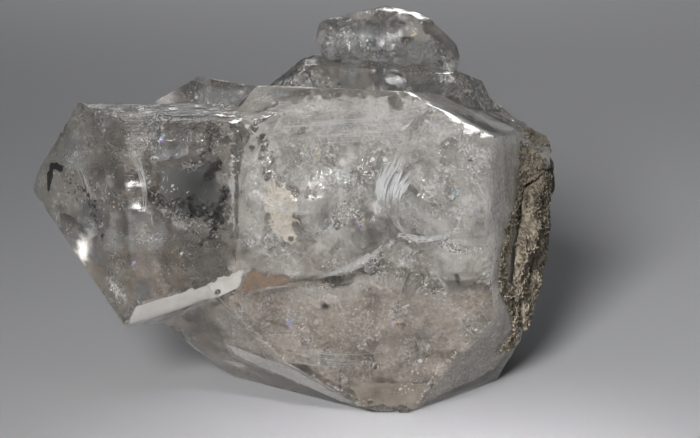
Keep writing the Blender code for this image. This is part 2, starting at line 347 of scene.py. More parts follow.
def relax(mesh, mask, rounds):
    """Pull each masked point towards the middle of its neighbours."""
    points = read_points(mesh)
    ends = np.empty(len(mesh.edges) * 2, dtype=int)
    mesh.edges.foreach_get("vertices", ends)
    first, second = ends[0::2], ends[1::2]
    count = np.bincount(ends, minlength=len(points))[:, None]
    for _ in range(rounds):
        total = np.zeros_like(points)
        np.add.at(total, first, points[second])
        np.add.at(total, second, points[first])
        points += RELAX_SHARE * mask[:, None] * (total / count - points)
    write_points(mesh, points)


relax(quartz_mesh, quartz_mask, rounds=16)
relax(rock_mesh, rock_mask, rounds=12)
print("relaxed", quartz_mesh.name, "and", rock_mesh.name)

# %% [markdown]
# ## The skin of the crystals
# Broken quartz is never smooth: it breaks in shells, with ripples that run round the point
# of the blow, and grown lobes are dimpled all over.  Flat faces only carry a faint swell.
# Edges are nicked where the cluster has been knocked.  All of it is added along the
# normals, in sizes from 4 mm down to what the mesh can hold.

# %% Noise, normals and sharp edges
SHIFT = Vector((10.69, 6.81, 0))        # mm, from the crystals' drawing to the frame
NICK_ANGLE = 22                         # degrees, sharper edges are nicked


def noise_field(points, scale, seed):
    """Smooth noise from -1 to 1 at each point, with so many lumps for each metre."""
    offset = Vector((seed * 3.1, seed * -1.7, seed * 2.3))
    return np.array([noise.noise(Vector(point) * scale + offset) for point in points])


def point_normals(mesh):
    normals = np.empty(len(mesh.vertices) * 3)
    mesh.vertices.foreach_get("normal", normals)
    return normals.reshape(-1, 3)


def sharp_points(mesh, angle):
    """1 at each point that lies on an edge sharper than the angle, else 0."""
    mesh_data = bmesh.new()
    mesh_data.from_mesh(mesh)
    found = np.zeros(len(mesh.vertices))
    for edge in mesh_data.edges:
        if edge.calc_face_angle(0.0) > math.radians(angle):
            found[edge.verts[0].index] = found[edge.verts[1].index] = 1.0
    mesh_data.free()
    return found


def ramp(values, start, length):
    """0 before a place, 1 from a length beyond it, and even between."""
    return np.clip((values - start) / length, 0, 1)


print("points on sharp edges", int(sharp_points(quartz_mesh, NICK_ANGLE).sum()))

# %% Relief on the crystals
CROWN_FOOT = 64         # mm above the floor
WORN_SIDE = 25          # mm to the right of the drawing's middle
UNMOVED_FOOT = 0.2      # mm, so that the cluster still stands flat


def relief_quartz(mesh, mask):
    points, normals = read_points(mesh), point_normals(mesh)
    x, y, z = points.T / MM
    dimples = noise_field(points, 240, 1)
    ripples = noise_field(points, 620, 2)
    swell = noise_field(points, 120, 3)
    shells = noise_field(points, 1300, 7)
    crown = ramp(z, CROWN_FOOT, 3)
    nicks = np.clip(noise_field(points, 420, 4) - 0.05, 0, 1) * sharp_points(mesh, NICK_ANGLE)
    height = mask * (0.46 * dimples + 0.09 * ripples + 0.03 * shells) - 0.6 * nicks
    height += (1 - mask) * (0.03 * swell + crown * 0.09 * dimples)
    worn = ramp(x - SHIFT.x, WORN_SIDE, 4) * ramp(SHIFT.y - y, 2, 6)
    height += (1 - mask) * worn * (0.34 * noise_field(points, 190, 8) + 0.16 * ripples)
    height[z < UNMOVED_FOOT] = 0
    moved = points + normals * height[:, None] * MM
    write_points(mesh, np.clip(moved, np.array(low), np.array(high)))
    return height


quartz_relief = relief_quartz(quartz_mesh, quartz_mask)
print("relief in mm from", quartz_relief.min().round(2), "to", quartz_relief.max().round(2))

# %% Adding a piece
SMOOTH_ANGLE = 24       # degrees, sharper edges stay sharp


def add_piece(name, mesh, material):
    piece = bpy.data.objects.new(name, mesh)
    scene.collection.objects.link(piece)
    mesh.materials.clear()
    mesh.materials.append(material)
    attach(piece, "root")
    return piece


def shade(mesh):
    mesh.shade_smooth()
    mesh.set_sharp_from_angle(angle=math.radians(SMOOTH_ANGLE))


shade(quartz_mesh)
crystals = add_piece("crystals", quartz_mesh, quartz)
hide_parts("quartz_crystals")
print("crystals", len(quartz_mesh.polygons), "triangles")

# %% [markdown]
# ## The skin of the rock
# Dolostone weathers to a sandy, pitted skin.  All of it is rough, so two sizes of noise
# along the normals are enough, and the single grains are set on it later.

# %% Relief on the rock
def relief_rock(mesh, mask):
    points, normals = read_points(mesh), point_normals(mesh)
    lumps = noise_field(points, 330, 5)
    grains = noise_field(points, 900, 6)
    height = mask * (0.14 * lumps + 0.18 * grains)
    write_points(mesh, points + normals * height[:, None] * MM)


relief_rock(rock_mesh, rock_mask)
rock = add_piece("rock", rock_mesh, dolostone)
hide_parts("dolostone_rock")
print("rock", len(rock_mesh.polygons), "triangles")

# %% [markdown]
# ## Inside the quartz
# What makes a cluster sparkle is what is inside it: healed cracks, which are clouds and
# sheets of tiny flat bubbles that shine like foil when they catch the light, silvery open
# cracks, and specks of black.  Alpha or a second glass would be lost in a game engine, so
# each bubble is a small ragged flake of its own, opaque and glossy, joined into one mesh
# for each finish.  A flake is kept only where it lies well inside the crystals.

# %% Where a thing may lie
# how deep in the quartz each kind of thing has to lie, in mm
MARGINS = {"veil": 0.6, "cloud": 0.7, "wall": 0.7, "crack": 0.35, "seam": 0.3, "patch": 0.2,
           "ribbon": 0.2}
inside_tree = BVHTree.FromPolygons(
    [tuple(point) for point in read_points(quartz_mesh)],
    [tuple(face.vertices) for face in quartz_mesh.polygons])
OUTWARD = Vector((0.31, 0.17, 0.93)).normalized()


def is_inside(point, margin):
    """True where a point lies deeper in the crystals than the margin, in metres."""
    spot, normal, _, distance = inside_tree.find_nearest(point)
    if distance <= margin or (point - spot).dot(normal) >= 0:
        return False
    # near a sharp edge the nearest face can mislead, so a ray has to leave through a face
    _, way_out, _, _ = inside_tree.ray_cast(point, OUTWARD)
    return way_out is not None and way_out.dot(OUTWARD) > 0


def fits(point, kind):
    """True where a thing of one kind may lie."""
    return is_inside(point, MARGINS[kind] * MM)


def direction(azimuth, elevation):
    turn, rise = math.radians(azimuth), math.radians(elevation)
    return Vector((math.cos(rise) * math.cos(turn), math.cos(rise) * math.sin(turn),
                   math.sin(rise)))


print("the middle of the frame box is inside:", is_inside((low + high) / 2, MM))

# %% A mesh of flakes
FLAKE_CORNERS = (4, 7)          # from, up to but not including


def plain_mesh(name, points, faces):
    mesh = bpy.data.meshes.new(name)
    mesh.from_pydata(points, [], faces)
    mesh.update()
    return mesh


def turned_across(normal, chance):
    """Two directions at right angles to a normal and to each other, turned by chance."""
    across = normal.orthogonal().normalized()
    across.rotate(Matrix.Rotation(chance.uniform(0, math.tau), 3, normal))
    return across, normal.cross(across)


def add_flakes(name, flakes, material):
    """One piece of small ragged flakes, each (middle, normal, radius, length over width)."""
    corners, faces = [], []
    chance = np.random.default_rng(len(flakes))
    for middle, normal, radius, stretch in flakes:
        across, upward = turned_across(normal, chance)
        count = int(chance.integers(*FLAKE_CORNERS))
        start = len(corners)
        for index in range(count):
            turn = math.tau * (index + chance.uniform(-0.3, 0.3)) / count
            reach = radius * chance.uniform(0.45, 1.25)
            corners.append(middle + (across * math.cos(turn) * stretch
                                     + upward * math.sin(turn)) * reach)
        faces.append(tuple(range(start, start + count)))
    add_piece(name, plain_mesh(name, corners, faces), material)
    print(name, len(flakes), "flakes")


print("a flake has", FLAKE_CORNERS[0], "to", FLAKE_CORNERS[1] - 1, "corners")

# %% [markdown]
# ## Two ways to strew flakes
# Healed cracks are curved sheets of flakes that run right through a crystal, so one way
# strews them on a bent oval.  The skin of a crystal hides a haze just below it, so the
# other way starts from chance places on one side of the skin and steps inwards.  A noise
# cuts both into lace, for real veils are never even.

# %% Flakes on a sheet
STREAK_SHARE = 0.30             # of the flakes are drawn out to streaks
VEIL_LACE_SCALE, CLOUD_LACE_SCALE = 260, 200        # lumps for each metre
draw = np.random.default_rng(11)


def flake(spot, normal, tilt, size):
    lean = Vector(draw.normal(size=3)) * tilt
    radius = size * MM * min(math.exp(draw.normal() * 0.45), 2.2)
    stretch = draw.uniform(2.5, 7) if draw.uniform() < STREAK_SHARE else 1.0
    return spot, (normal + lean).normalized(), radius / math.sqrt(stretch), stretch


def sheet_axes(azimuth, elevation):
    """The normal of a sheet that looks a given way, and its two sides."""
    normal = direction(azimuth, elevation)
    across = Vector((-math.sin(math.radians(azimuth)), math.cos(math.radians(azimuth)), 0))
    return normal, across, normal.cross(across)


def strew_sheet(middle, azimuth, elevation, width, height, count, size, bend, tilt, lace):
    """Flakes over a curved sheet, in mm, whose normal points in the given direction."""
    normal, across, upward = sheet_axes(azimuth, elevation)
    flakes = []
    for _ in range(count):
        u, v = draw.uniform(-1, 1), draw.uniform(-1, 1)
        if u * u + v * v > 1:
            continue
        lift = bend * (u * u - v * v * 0.6) * width / 2 + draw.normal() * 0.12
        spot = Vector(middle) + SHIFT + across * u * width / 2 + upward * v * height / 2
        spot = (spot + normal * lift) * MM
        if noise.noise(spot * VEIL_LACE_SCALE) >= lace and fits(spot, "veil"):
            flakes.append(flake(spot, normal, tilt, size))
    return flakes


print("share of streaks", STREAK_SHARE)

# %% Flakes under the skin
FRONT, BACK, ABOVE = (0, -1, 0), (0, 0.95, 0.3), (0, 0.2, 0.98)
LEFT, RIGHT, SLANT = (-0.9, 0.3, 0), (0.95, -0.3, 0.1), (0.7, -0.7, 0)
SAME_SIDE = 0.15                # least cosine between a face's normal and the side's


def face_arrays(mesh):
    """Middle, normal and area of each face."""
    count = len(mesh.polygons)
    middles, normals, areas = np.empty(count * 3), np.empty(count * 3), np.empty(count)
    mesh.polygons.foreach_get("center", middles)
    mesh.polygons.foreach_get("normal", normals)
    mesh.polygons.foreach_get("area", areas)
    return middles.reshape(-1, 3), normals.reshape(-1, 3), areas


skin_middles, skin_normals, skin_areas = face_arrays(quartz_mesh)


def strew_under_skin(facing, x_range, z_range, depth_range, count, size, tilt, lace):
    """Flakes in a lacy cloud that follows one side of the crystals, in mm below it."""
    x, _, z = (skin_middles / MM - np.array(SHIFT)).T
    chosen = ((x > x_range[0]) & (x < x_range[1]) & (z > z_range[0]) & (z < z_range[1])
              & (skin_normals @ np.array(facing) > SAME_SIDE))
    weight = np.where(chosen, skin_areas, 0)
    flakes = []
    for pick in draw.choice(len(weight), size=count, p=weight / weight.sum()):
        depth = draw.uniform(*depth_range)
        normal = Vector(skin_normals[pick])
        jitter = Vector(draw.normal(size=3)) * 0.5
        spot = Vector(skin_middles[pick]) + (jitter - normal * depth) * MM
        if noise.noise(spot * CLOUD_LACE_SCALE) >= lace and fits(spot, "cloud"):
            flakes.append(flake(spot, normal, tilt, size))
    return flakes


print("faces of the skin", len(skin_areas))

# %% [markdown]
# ## Open cracks
# A crack in quartz is a film of air.  Light that meets it at a slant is turned back
# completely, which is why cracks look like silver from one side and like nothing from the
# other.  A painted sheet cannot do that, so each crack is a real gap: a thin, wavy lens
# whose faces look out of the quartz into the gap, joined to the mesh of the crystals.

# %% The shape of a crack
CRACK_RINGS, CRACK_SPOKES = 5, 16
HALF_GAP = 0.03         # mm, half the thickness of a crack in its middle


def crack_shape(middle, normal, radius, bend, ripple):
    """Points and faces of a thin lens, or nothing where it would come out of the quartz."""
    across, upward = turned_across(normal, draw)
    waves, phase = draw.uniform(2.0, 5.0), draw.uniform(0, math.tau)
    ragged = [1 + 0.22 * math.sin(index * math.tau / CRACK_SPOKES * 2 + phase)
              + draw.uniform(-0.12, 0.12) for index in range(CRACK_SPOKES)]
    stretch = draw.uniform(0.55, 1.0)
    sides = []
    for side in (1, -1):
        rows = []
        for ring in range(1, CRACK_RINGS + 1):
            reach = ring / CRACK_RINGS
            row = []
            for spoke in range(CRACK_SPOKES):
                turn = spoke * math.tau / CRACK_SPOKES
                u = reach * ragged[spoke] * math.cos(turn)
                v = reach * ragged[spoke] * math.sin(turn) * stretch
                lift = bend * (u * u + 0.4 * v * v + 0.5 * u * v)
                lift += ripple * math.sin(waves * (u + 0.6) ** 2 * 3 + phase) * reach
                spot = middle + (across * u + upward * v + normal * lift) * radius
                gap = side * HALF_GAP * MM * (1.02 - reach ** 4)
                row.append(spot + normal * gap)
            rows.append(row)
        sides.append((middle + normal * side * HALF_GAP * MM, rows))
    rim = sides[0][1][-1]
    if not all(fits(spot, "crack") for spot in rim[::3] + sides[0][1][2][::4]):
        return [], []
    points, faces = [], []
    for side, (hub, rows) in enumerate(sides):
        start = len(points)
        points.append(hub)
        for row in rows:
            points.extend(row)
        for spoke in range(CRACK_SPOKES):
            after = (spoke + 1) % CRACK_SPOKES
            loops = [(start, start + 1 + spoke, start + 1 + after)]
            for ring in range(CRACK_RINGS - 1):
                inner = start + 1 + ring * CRACK_SPOKES
                outer = inner + CRACK_SPOKES
                loops.append((inner + spoke, outer + spoke, outer + after, inner + after))
            # the gap is hollow, so its faces look inwards, towards the middle of the lens
            faces.extend(loop[::-1] if side == 0 else loop for loop in loops)
    back = 1 + CRACK_RINGS * CRACK_SPOKES
    last = 1 + (CRACK_RINGS - 1) * CRACK_SPOKES
    for spoke in range(CRACK_SPOKES):
        after = (spoke + 1) % CRACK_SPOKES
        faces.append((last + spoke, back + last + spoke, back + last + after, last + after))
    return points, faces


print("a crack has", 4 * CRACK_RINGS * CRACK_SPOKES, "triangles")

# %% Strewing the cracks
def join_on(points, faces, more):
    """Add the points and faces of one more part to those of a mesh in the making."""
    more_points, more_faces = more
    faces.extend(tuple(len(points) + corner for corner in face) for face in more_faces)
    points.extend(more_points)


# x, y and z ranges in mm, count, radii, slant from upright, bend, ripple
CRACK_ZONES = {
    "lobes": ((-20, 36), (-45.5, -39), (27, 60), 44, (1.0, 4.2), 1.5, 0.35, 0.03),
    "main top": ((-20, 32), (-38, -20), (52, 63), 16, (1.5, 5), 1.5, 0.35, 0.03),
    "foot": ((-26, 32), (-42, -32), (4, 28), 26, (1.5, 6), 1.5, 0.25, 0.03),
    "left": ((-64, -24), (-44, -14), (18, 62), 40, (1.0, 7), 1.5, 0.25, 0.03),
    "top": ((-20, 34), (-16, 10), (58, 76), 22, (1.0, 4.5), 1.2, 0.3, 0.04),
    "right": ((26, 44), (-36, 10), (14, 56), 16, (1.5, 5), 1.2, 0.3, 0.04),
    "back": ((-26, 38), (4, 28), (6, 60), 26, (2, 7), 1.2, 0.3, 0.03),
    "back left": ((-60, -20), (-20, 6), (20, 60), 14, (2, 7), 1.2, 0.3, 0.03),
}
TRIES = 30              # for each crack, as most chance places lie outside the quartz


def strew_cracks():
    points, faces, made = [], [], 0
    for x_range, y_range, z_range, count, radii, slant, bend, ripple in CRACK_ZONES.values():
        left = count
        for _ in range(count * TRIES):
            if left == 0:
                break
            middle = Vector((draw.uniform(*x_range), draw.uniform(*y_range),
                             draw.uniform(*z_range)))
            middle = (middle + SHIFT) * MM
            normal = Vector((draw.normal() * slant, -0.7, draw.normal() * slant)).normalized()
            if not is_inside(middle, radii[0] * 0.4 * MM):
                continue
            radius = draw.uniform(*radii) * MM
            crack = crack_shape(middle, normal, radius, bend * draw.uniform(-1, 1), ripple)
            if crack[0]:
                join_on(points, faces, crack)
                left -= 1
                made += 1
    return points, faces, made


crack_points, crack_faces, crack_count = strew_cracks()
print("cracks", crack_count)

# %% Joining the cracks to the crystals
def add_faces(mesh_data, points, faces):
    corners = [mesh_data.verts.new(point) for point in points]
    for face in faces:
        mesh_data.faces.new([corners[index] for index in face])


def join_gaps(mesh, points, faces):
    """Add the closed gaps to a mesh, with the same material and smooth shading."""
    mesh_data = bmesh.new()
    mesh_data.from_mesh(mesh)
    add_faces(mesh_data, points, faces)
    triangulate(mesh_data)
    mesh_data.to_mesh(mesh)
    mesh_data.free()
    shade(mesh)


join_gaps(quartz_mesh, crack_points, crack_faces)
print("crystals with cracks", len(quartz_mesh.polygons), "triangles")

# %% [markdown]
# ## Bubbles, smoke and soot
# A bubble that faces the light shines like foil, most others only look milky, and here and
# there is smoke or a black speck.  Four opaque finishes stand for these, and each cloud
# says in hundredths how its flakes are shared out among them.

# %% Finishes of what is inside
def foil_finish(name, colour, roughness, metal):
    finish = Finish(name)
    mottle = finish.grain(1400, 2.0)
    tint = finish.blend(mottle, tuple(0.9 * c for c in colour) + (1,), tuple(colour) + (1,))
    finish.surface(Base_Color=tint, Roughness=roughness + 0.1 * mottle, Metallic=metal)
    return finish.material


INNER_FINISHES = {
    "milk": foil_finish("milky bubble", (0.97, 0.96, 0.94), 0.35, 0.0),
    "glint": foil_finish("bright bubble", (0.97, 0.96, 0.94), 0.25, 1.0),
    "smoke": foil_finish("smoky bubble", (0.50, 0.42, 0.34), 0.35, 0.0),
    "dark": foil_finish("black speck", (0.020, 0.018, 0.016), 0.30, 0.0),
}
print("inner finishes", list(INNER_FINISHES))

# %% Where the clouds and veils lie
# side, x range, z range, depths, count, size, tilt, lace, then the shares of each finish
CLOUDS = {
    "lobes": (FRONT, (-22, 40), (26, 64), (0.9, 3.5), 22000, 0.13, 0.5, 0.08, (68, 22, 10, 0)),
    "spangles": (FRONT, (-24, 40), (4, 64), (0.5, 1.3), 3000, 0.25, 0.4, 0.10, (90, 10, 0, 0)),
    "foot": (FRONT, (-28, 32), (2, 27), (1.0, 3.5), 12000, 0.11, 0.5, 0.06, (76, 20, 4, 0)),
    "left": (FRONT, (-66, -22), (16, 64), (1.0, 9), 7000, 0.11, 0.5, 0.14, (64, 26, 8, 2)),
    "top": (FRONT, (-20, 40), (60, 80), (0.9, 6), 1600, 0.12, 0.5, 0.12, (66, 28, 4, 2)),
    "front right": (SLANT, (27, 46), (14, 60), (0.6, 2.8), 6000, 0.14, 0.5, 0.0, (74, 20, 6, 0)),
    "right": (RIGHT, (26, 48), (2, 64), (0.8, 5), 6000, 0.14, 0.5, 0.05, (76, 20, 4, 0)),
    "back": (BACK, (-66, 48), (2, 80), (0.9, 6), 14000, 0.17, 0.5, 0.08, (74, 22, 4, 0)),
    "far left": (LEFT, (-66, -20), (2, 80), (0.9, 6), 5000, 0.15, 0.5, 0.08, (70, 24, 6, 0)),
    "left spangles": (FRONT, (-62, -24), (18, 60), (0.5, 3), 500, 0.18, 0.4, 0.1, (76, 24, 0, 0)),
    "left tint": (FRONT, (-62, -34), (24, 58), (1, 6), 1600, 0.24, 0.5, 0.2, (0, 0, 100, 0)),
    "above": (ABOVE, (-22, 40), (44, 80), (0.9, 5), 7000, 0.14, 0.5, 0.08, (76, 20, 4, 0)),
}
# middle, azimuth, elevation, width, height, count, size, bend, tilt, lace, then the shares
VEILS = {
    "left back": ((-44, -20, 42), -80, 10, 36, 36, 2500, 0.12, 0.25, 0.5, 0.0, (56, 12, 30, 2)),
    "left low": ((-42, -26, 26), -70, 30, 34, 16, 2500, 0.10, 0.20, 0.4, 0.0, (60, 20, 20, 0)),
    "left top": ((-42, -28, 56), -90, 70, 34, 18, 2500, 0.10, 0.10, 0.4, 0.0, (60, 24, 14, 2)),
    "soot": ((-27, -38, 45), -90, 0, 11, 20, 1500, 0.26, 0.3, 0.5, 0.10, (8, 12, 10, 70)),
    "soot low": ((-50, -28, 44), -120, 0, 12, 16, 600, 0.22, 0.3, 0.5, 0.15, (20, 16, 34, 30)),
}
print(len(CLOUDS), "clouds and", len(VEILS), "veils")

# %% Sharing out the flakes
def share_out(flakes, shares, piles):
    """Deal flakes to the piles of the four finishes by their shares of a hundred."""
    bounds = np.cumsum(shares)
    for item in flakes:
        pick = int(np.searchsorted(bounds, draw.uniform(0, 100), side="right"))
        list(piles.values())[min(pick, len(piles) - 1)].append(item)


piles = {name: [] for name in INNER_FINISHES}
for *cloud, shares in CLOUDS.values():
    share_out(strew_under_skin(*cloud), shares, piles)
for *veil, shares in VEILS.values():
    share_out(strew_sheet(*veil), shares, piles)
for name, flakes in piles.items():
    add_flakes("inner_" + name, flakes, INNER_FINISHES[name])

# %% [markdown]
# ## Milky walls
# Deeper down the bubbles are too many and too fine to tell apart, and the quartz turns
# milky.  A cloud of that many flakes would be a waste, so those depths are lumpy sheets
# with holes, well inside the crystals.  Their soft colour wanders between white and grey,
# and turns to brown towards the foot.

# %% A lumpy sheet with holes
SHEET_STEP = 0.7        # mm


def milk_sheet(middle, azimuth, elevation, width, height, bend, lumps, lace):
    """Points and faces of one sheet, in metres, kept only well inside the crystals."""
    normal, across, upward = sheet_axes(azimuth, elevation)
    columns, rows = int(width / SHEET_STEP), int(height / SHEET_STEP)
    points, kept, faces = [], [], []
    for row in range(rows + 1):
        for column in range(columns + 1):
            u, v = column / columns * 2 - 1, row / rows * 2 - 1
            flat = Vector(middle) + SHIFT + across * u * width / 2 + upward * v * height / 2
            lift = -bend * (u * u + 0.5 * v * v)
            lift += lumps * (noise.noise(flat * 0.16) + 0.5 * noise.noise(flat * 0.45)
                             + 0.22 * noise.noise(flat * 1.3))
            spot = (flat + normal * lift) * MM
            hole = noise.noise(spot * 110) + 0.5 * noise.noise(spot * 420)
            hole += 0.4 * noise.noise(spot * 1500)
            kept.append(hole > lace and u * u * u * u + v * v * v * v < 1.1
                        and fits(spot, "wall"))
            points.append(spot)
    for row in range(rows):
        for column in range(columns):
            start = row * (columns + 1) + column
            loop = (start, start + 1, start + columns + 2, start + columns + 1)
            if all(kept[corner] for corner in loop):
                faces.append(loop)
    return points, faces


def soft_sheet(name, points, faces, rim_rounds=0):
    """A smooth mesh without loose points, its rim evened out."""
    mesh_data = bmesh.new()
    add_faces(mesh_data, points, faces)
    loose = [corner for corner in mesh_data.verts if not corner.link_faces]
    bmesh.ops.delete(mesh_data, geom=loose, context="VERTS")
    rim = [corner for corner in mesh_data.verts if corner.is_boundary]
    for _ in range(rim_rounds):
        bmesh.ops.smooth_vert(mesh_data, verts=rim, factor=0.5, use_axis_x=True,
                              use_axis_y=True, use_axis_z=True)
    mesh = bpy.data.meshes.new(name)
    mesh_data.to_mesh(mesh)
    mesh_data.free()
    mesh.shade_smooth()
    print(name, len(faces), "faces")
    return mesh


print("sheet tools ready")

# %% The milky finish
FOOT_HEIGHT, FOOT_FADE = 0.0455, 0.007      # metres above the floor
FLECK_COLOUR, DUST_COLOUR = (0.16, 0.145, 0.125, 1), (1.0, 0.99, 0.97, 1)


def hair_lines(field, thinness):
    """1 where a noise crosses its middle, which draws thin curved lines, else less."""
    return 1 - (field - 0.5).absolute() * thinness


def milk_finish(name, tones, low_tones=None, dusty=0.62):
    """Soft clouds of colour with thin curved wisps, dark flecks and pale dust."""
    finish = Finish(name)
    broad = finish.grain(115, 3.0, 0.5)
    fine = finish.grain(700, 2.0, 0.5)
    veins = finish.grain(140, 3.0, 0.45)
    threads = finish.grain(330, 2.0, 0.5, stretch=(0.7, 0.7, 1.4))
    wisps = hair_lines(veins, 70).or_larger(hair_lines(threads, 45) * 0.7) * (0.2 + fine)
    light, shade, wisp = tones
    if low_tones:
        raised = (finish.height() + 0.030 * broad).above(FOOT_HEIGHT, FOOT_FADE)
        light, shade, wisp = (finish.blend(raised, low_tone, tone)
                              for low_tone, tone in zip(low_tones, tones))
    tint = finish.blend((broad * 0.9 + fine * 0.2 - 0.05).above(0.5, 0.20), shade, light)
    tint = finish.blend(wisps.above(0.45, 0.45), tint, wisp)
    flecks = finish.grain(1300, 3.0, 0.7).above(0.60, 0.05)
    dust = finish.grain(2100, 3.0, 0.7).above(0.565, 0.04)
    tint = finish.blend(flecks * 0.55, tint, FLECK_COLOUR)
    tint = finish.blend(dust * dusty, tint, DUST_COLOUR)
    finish.surface(Base_Color=tint, Roughness=0.25 + 0.2 * fine)
    finish.relief(wisps * 0.15 + fine * 0.5 + dust * 0.3, 0.0004, 0.7)
    return finish.material


# light, shade and wisp of each
WHITE_TONES = ((0.86, 0.83, 0.78, 1), (0.25, 0.232, 0.208, 1), (0.98, 0.97, 0.95, 1))
BROWN_TONES = ((0.56, 0.49, 0.415, 1), (0.235, 0.19, 0.15, 1), (0.68, 0.61, 0.53, 1))
GREY_TONES = ((0.34, 0.33, 0.305, 1), (0.14, 0.135, 0.12, 1), (0.70, 0.69, 0.67, 1))
TAN_TONES = ((0.80, 0.73, 0.63, 1), (0.42, 0.37, 0.305, 1), (0.95, 0.92, 0.87, 1))
CREAM_TONES = ((0.92, 0.83, 0.70, 1), (0.62, 0.54, 0.44, 1), (0.97, 0.91, 0.82, 1))
# painted light: near white tones for the rim light along the foot's bottom-left edge
RIM_LIGHT_TONES = ((0.96, 0.93, 0.89, 1), (0.68, 0.64, 0.59, 1), (1.0, 1.0, 0.98, 1))
# painted shade: dark tones for the crown's milky sheet
CROWN_SHADE_TONES = ((0.16, 0.16, 0.155, 1), (0.04, 0.04, 0.038, 1), (0.55, 0.55, 0.53, 1))
MILK = milk_finish("milky quartz", WHITE_TONES, BROWN_TONES)
GREY = milk_finish("grey quartz", GREY_TONES, TAN_TONES)
CROWN_SHADE = milk_finish("dim quartz", CROWN_SHADE_TONES, dusty=0.12)
print("milky finishes", MILK.name, GREY.name, CROWN_SHADE.name)

# %% The walls
# middle, azimuth, elevation, width, height, bend, lumps, lace
WALLS = {
    "milk_wall": ([((8, -16, 42), -90, 5, 66, 50, 6, 2.5, -0.8),
                   ((6, -20, 53), -90, 78, 54, 30, 3, 2.0, -0.25)], MILK),
    "foot_wall": ([((4, -8, 16), -90, -20, 60, 34, 5, 2.0, -0.8)], MILK),
    "back_wall": ([((6, 14, 36), 90, 20, 56, 50, 8, 3.5, -0.25),
                   ((-42, -4, 42), 100, 5, 36, 40, 4, 2.0, -0.1),
                   ((8, 12, 64), 90, 20, 50, 18, 3, 1.5, -0.1)], MILK),
    "left_wall": ([((-44, -12, 40), -80, 0, 46, 50, 5, 1.6, -0.5)], GREY),
    # the crown's sheet is a dark milky sheet whose darkness is painted shade
    "top_wall": ([((8, 2, 62), -90, 25, 52, 18, 3, 1.2, -0.3)], CROWN_SHADE),
}
for name, (sheets, material) in WALLS.items():
    points, faces = [], []
    for sheet in sheets:
        join_on(points, faces, milk_sheet(*sheet))
    add_piece(name, soft_sheet(name, points, faces), material)

# %% [markdown]
# ## Marks that can be told apart
# Some things inside or on this cluster are large enough to know by sight: the facet
# under the left crystal, painted pale as painted light, a dark patch behind its front face,
# painted as the reflection of a dark room in a crack, a black wedge at its tip, darker
# brown under the main crystal's lip, a brown tip at the foot whose lighter brown is partly
# painted light over the shade where it meets the floor, and seams of bright specks where
# one growth ends on another.  Each is laid out in front view and set back to just below
# the skin, found by looking straight at the crystals.

# %% Laying a patch just under the skin
RIM_ROUNDS = 6
BEFORE_ALL = -90            # mm, a place well in front of the crystals


def skin_point(x, z, depth):
    """The point so far behind the skin at x, z in mm, or None where there is no skin."""
    start = (Vector((x, BEFORE_ALL, z)) + SHIFT) * MM
    spot, _, _, _ = inside_tree.ray_cast(start, Vector((0, 1, 0)))
    return None if spot is None else spot + Vector((0, depth * MM, 0))


def within(outline, x, z):
    """True where x, z lies inside a closed outline."""
    inside = False
    for (x1, z1), (x2, z2) in zip(outline, outline[1:] + outline[:1]):
        if (z1 > z) != (z2 > z) and x < (x2 - x1) * (z - z1) / (z2 - z1) + x1:
            inside = not inside
    return inside


def skin_patch(name, outline, depth, material, step=0.4, ragged=0.35, wave=0.25):
    """A sheet with the given outline in front view, following the skin from inside."""
    xs, zs = zip(*outline)
    columns, rows = (int((max(ends) - min(ends)) / step) + 1 for ends in (xs, zs))
    points, faces, known = [], [], {}
    for row in range(rows):
        for column in range(columns):
            x, z = min(xs) + column * step, min(zs) + row * step
            wander = Vector((noise.noise((x, z, 1)), noise.noise((x, z, 7)))) * ragged
            if not within(outline, x + wander.x, z + wander.y):
                continue
            lift = noise.noise((x * 0.2, z * 0.2, 3)) + 0.18 * noise.noise((x * 0.6, z * 0.6, 3))
            spot = skin_point(x, z, depth + wave * lift)
            if spot is None or not fits(spot, "patch"):
                continue
            known[column, row] = len(points)
            points.append(spot)
    for column, row in known:
        loop = [(column, row), (column + 1, row), (column + 1, row + 1), (column, row + 1)]
        if all(corner in known for corner in loop):
            faces.append(tuple(known[corner] for corner in loop))
    mesh = soft_sheet(name, points, faces, RIM_ROUNDS)
    return add_piece(name, mesh, material)


print("patch tools ready")

# %% Outlines of the patches
# x and z in mm as seen from the front
PALE_FACET = [(-45.0, 18.6), (-42.0, 24.4), (-37.5, 26.0), (-33.2, 27.2), (-29.2, 29.6),
              (-20.2, 32.3), (-21.2, 27.4), (-29.5, 23.2), (-43.6, 17.6)]
MILKY_FRONT = [(-24, 30), (-24.5, 52), (-20, 60), (-8, 62.5), (10, 62.5), (24, 60.5),
               (33, 55), (36.5, 46), (35, 38), (32, 30), (26, 27.5), (12, 29.5), (6, 32),
               (-2, 29), (-14, 29.5)]
SMOKY_FOOT = [(-28, 24), (-22, 27), (-14, 28.4), (-2, 28.4), (6, 31.5), (12, 29), (26, 27.5),
              (33, 28), (33.5, 14), (30, 5), (14, 1.0), (3, 0.9), (-24, 8.5)]
SMOKY_WAIST = [(-24, 23), (-24, 36), (0, 39), (12, 40), (34, 36), (34, 20)]
MILKY_RIGHT = [(28, 14), (28.5, 57), (36, 53), (43, 49), (45, 38), (42, 26), (36, 14)]
LOW_LEFT_FACET = [(-23, 8.6), (-26, 13), (-12.4, 10.8), (3.4, 1.0), (-2, 1.0)]
FOOT_TIP = [(-1, 6.5), (6, 7.5), (17, 6.5), (14.5, 0.5), (2, 0.5)]
LOW_RIGHT_FACET = [(13.4, 1.2), (17.6, 9.4), (28.6, 19.4), (31, 8), (28, 3)]
DARK_REFLECTION_OUTLINE = [(-37.0, 51.5), (-33.0, 53.0), (-27.0, 53.5), (-24.6, 49.0), (-24.8, 43.0),
               (-29.0, 41.0), (-34.0, 43.0), (-37.5, 46.5)]
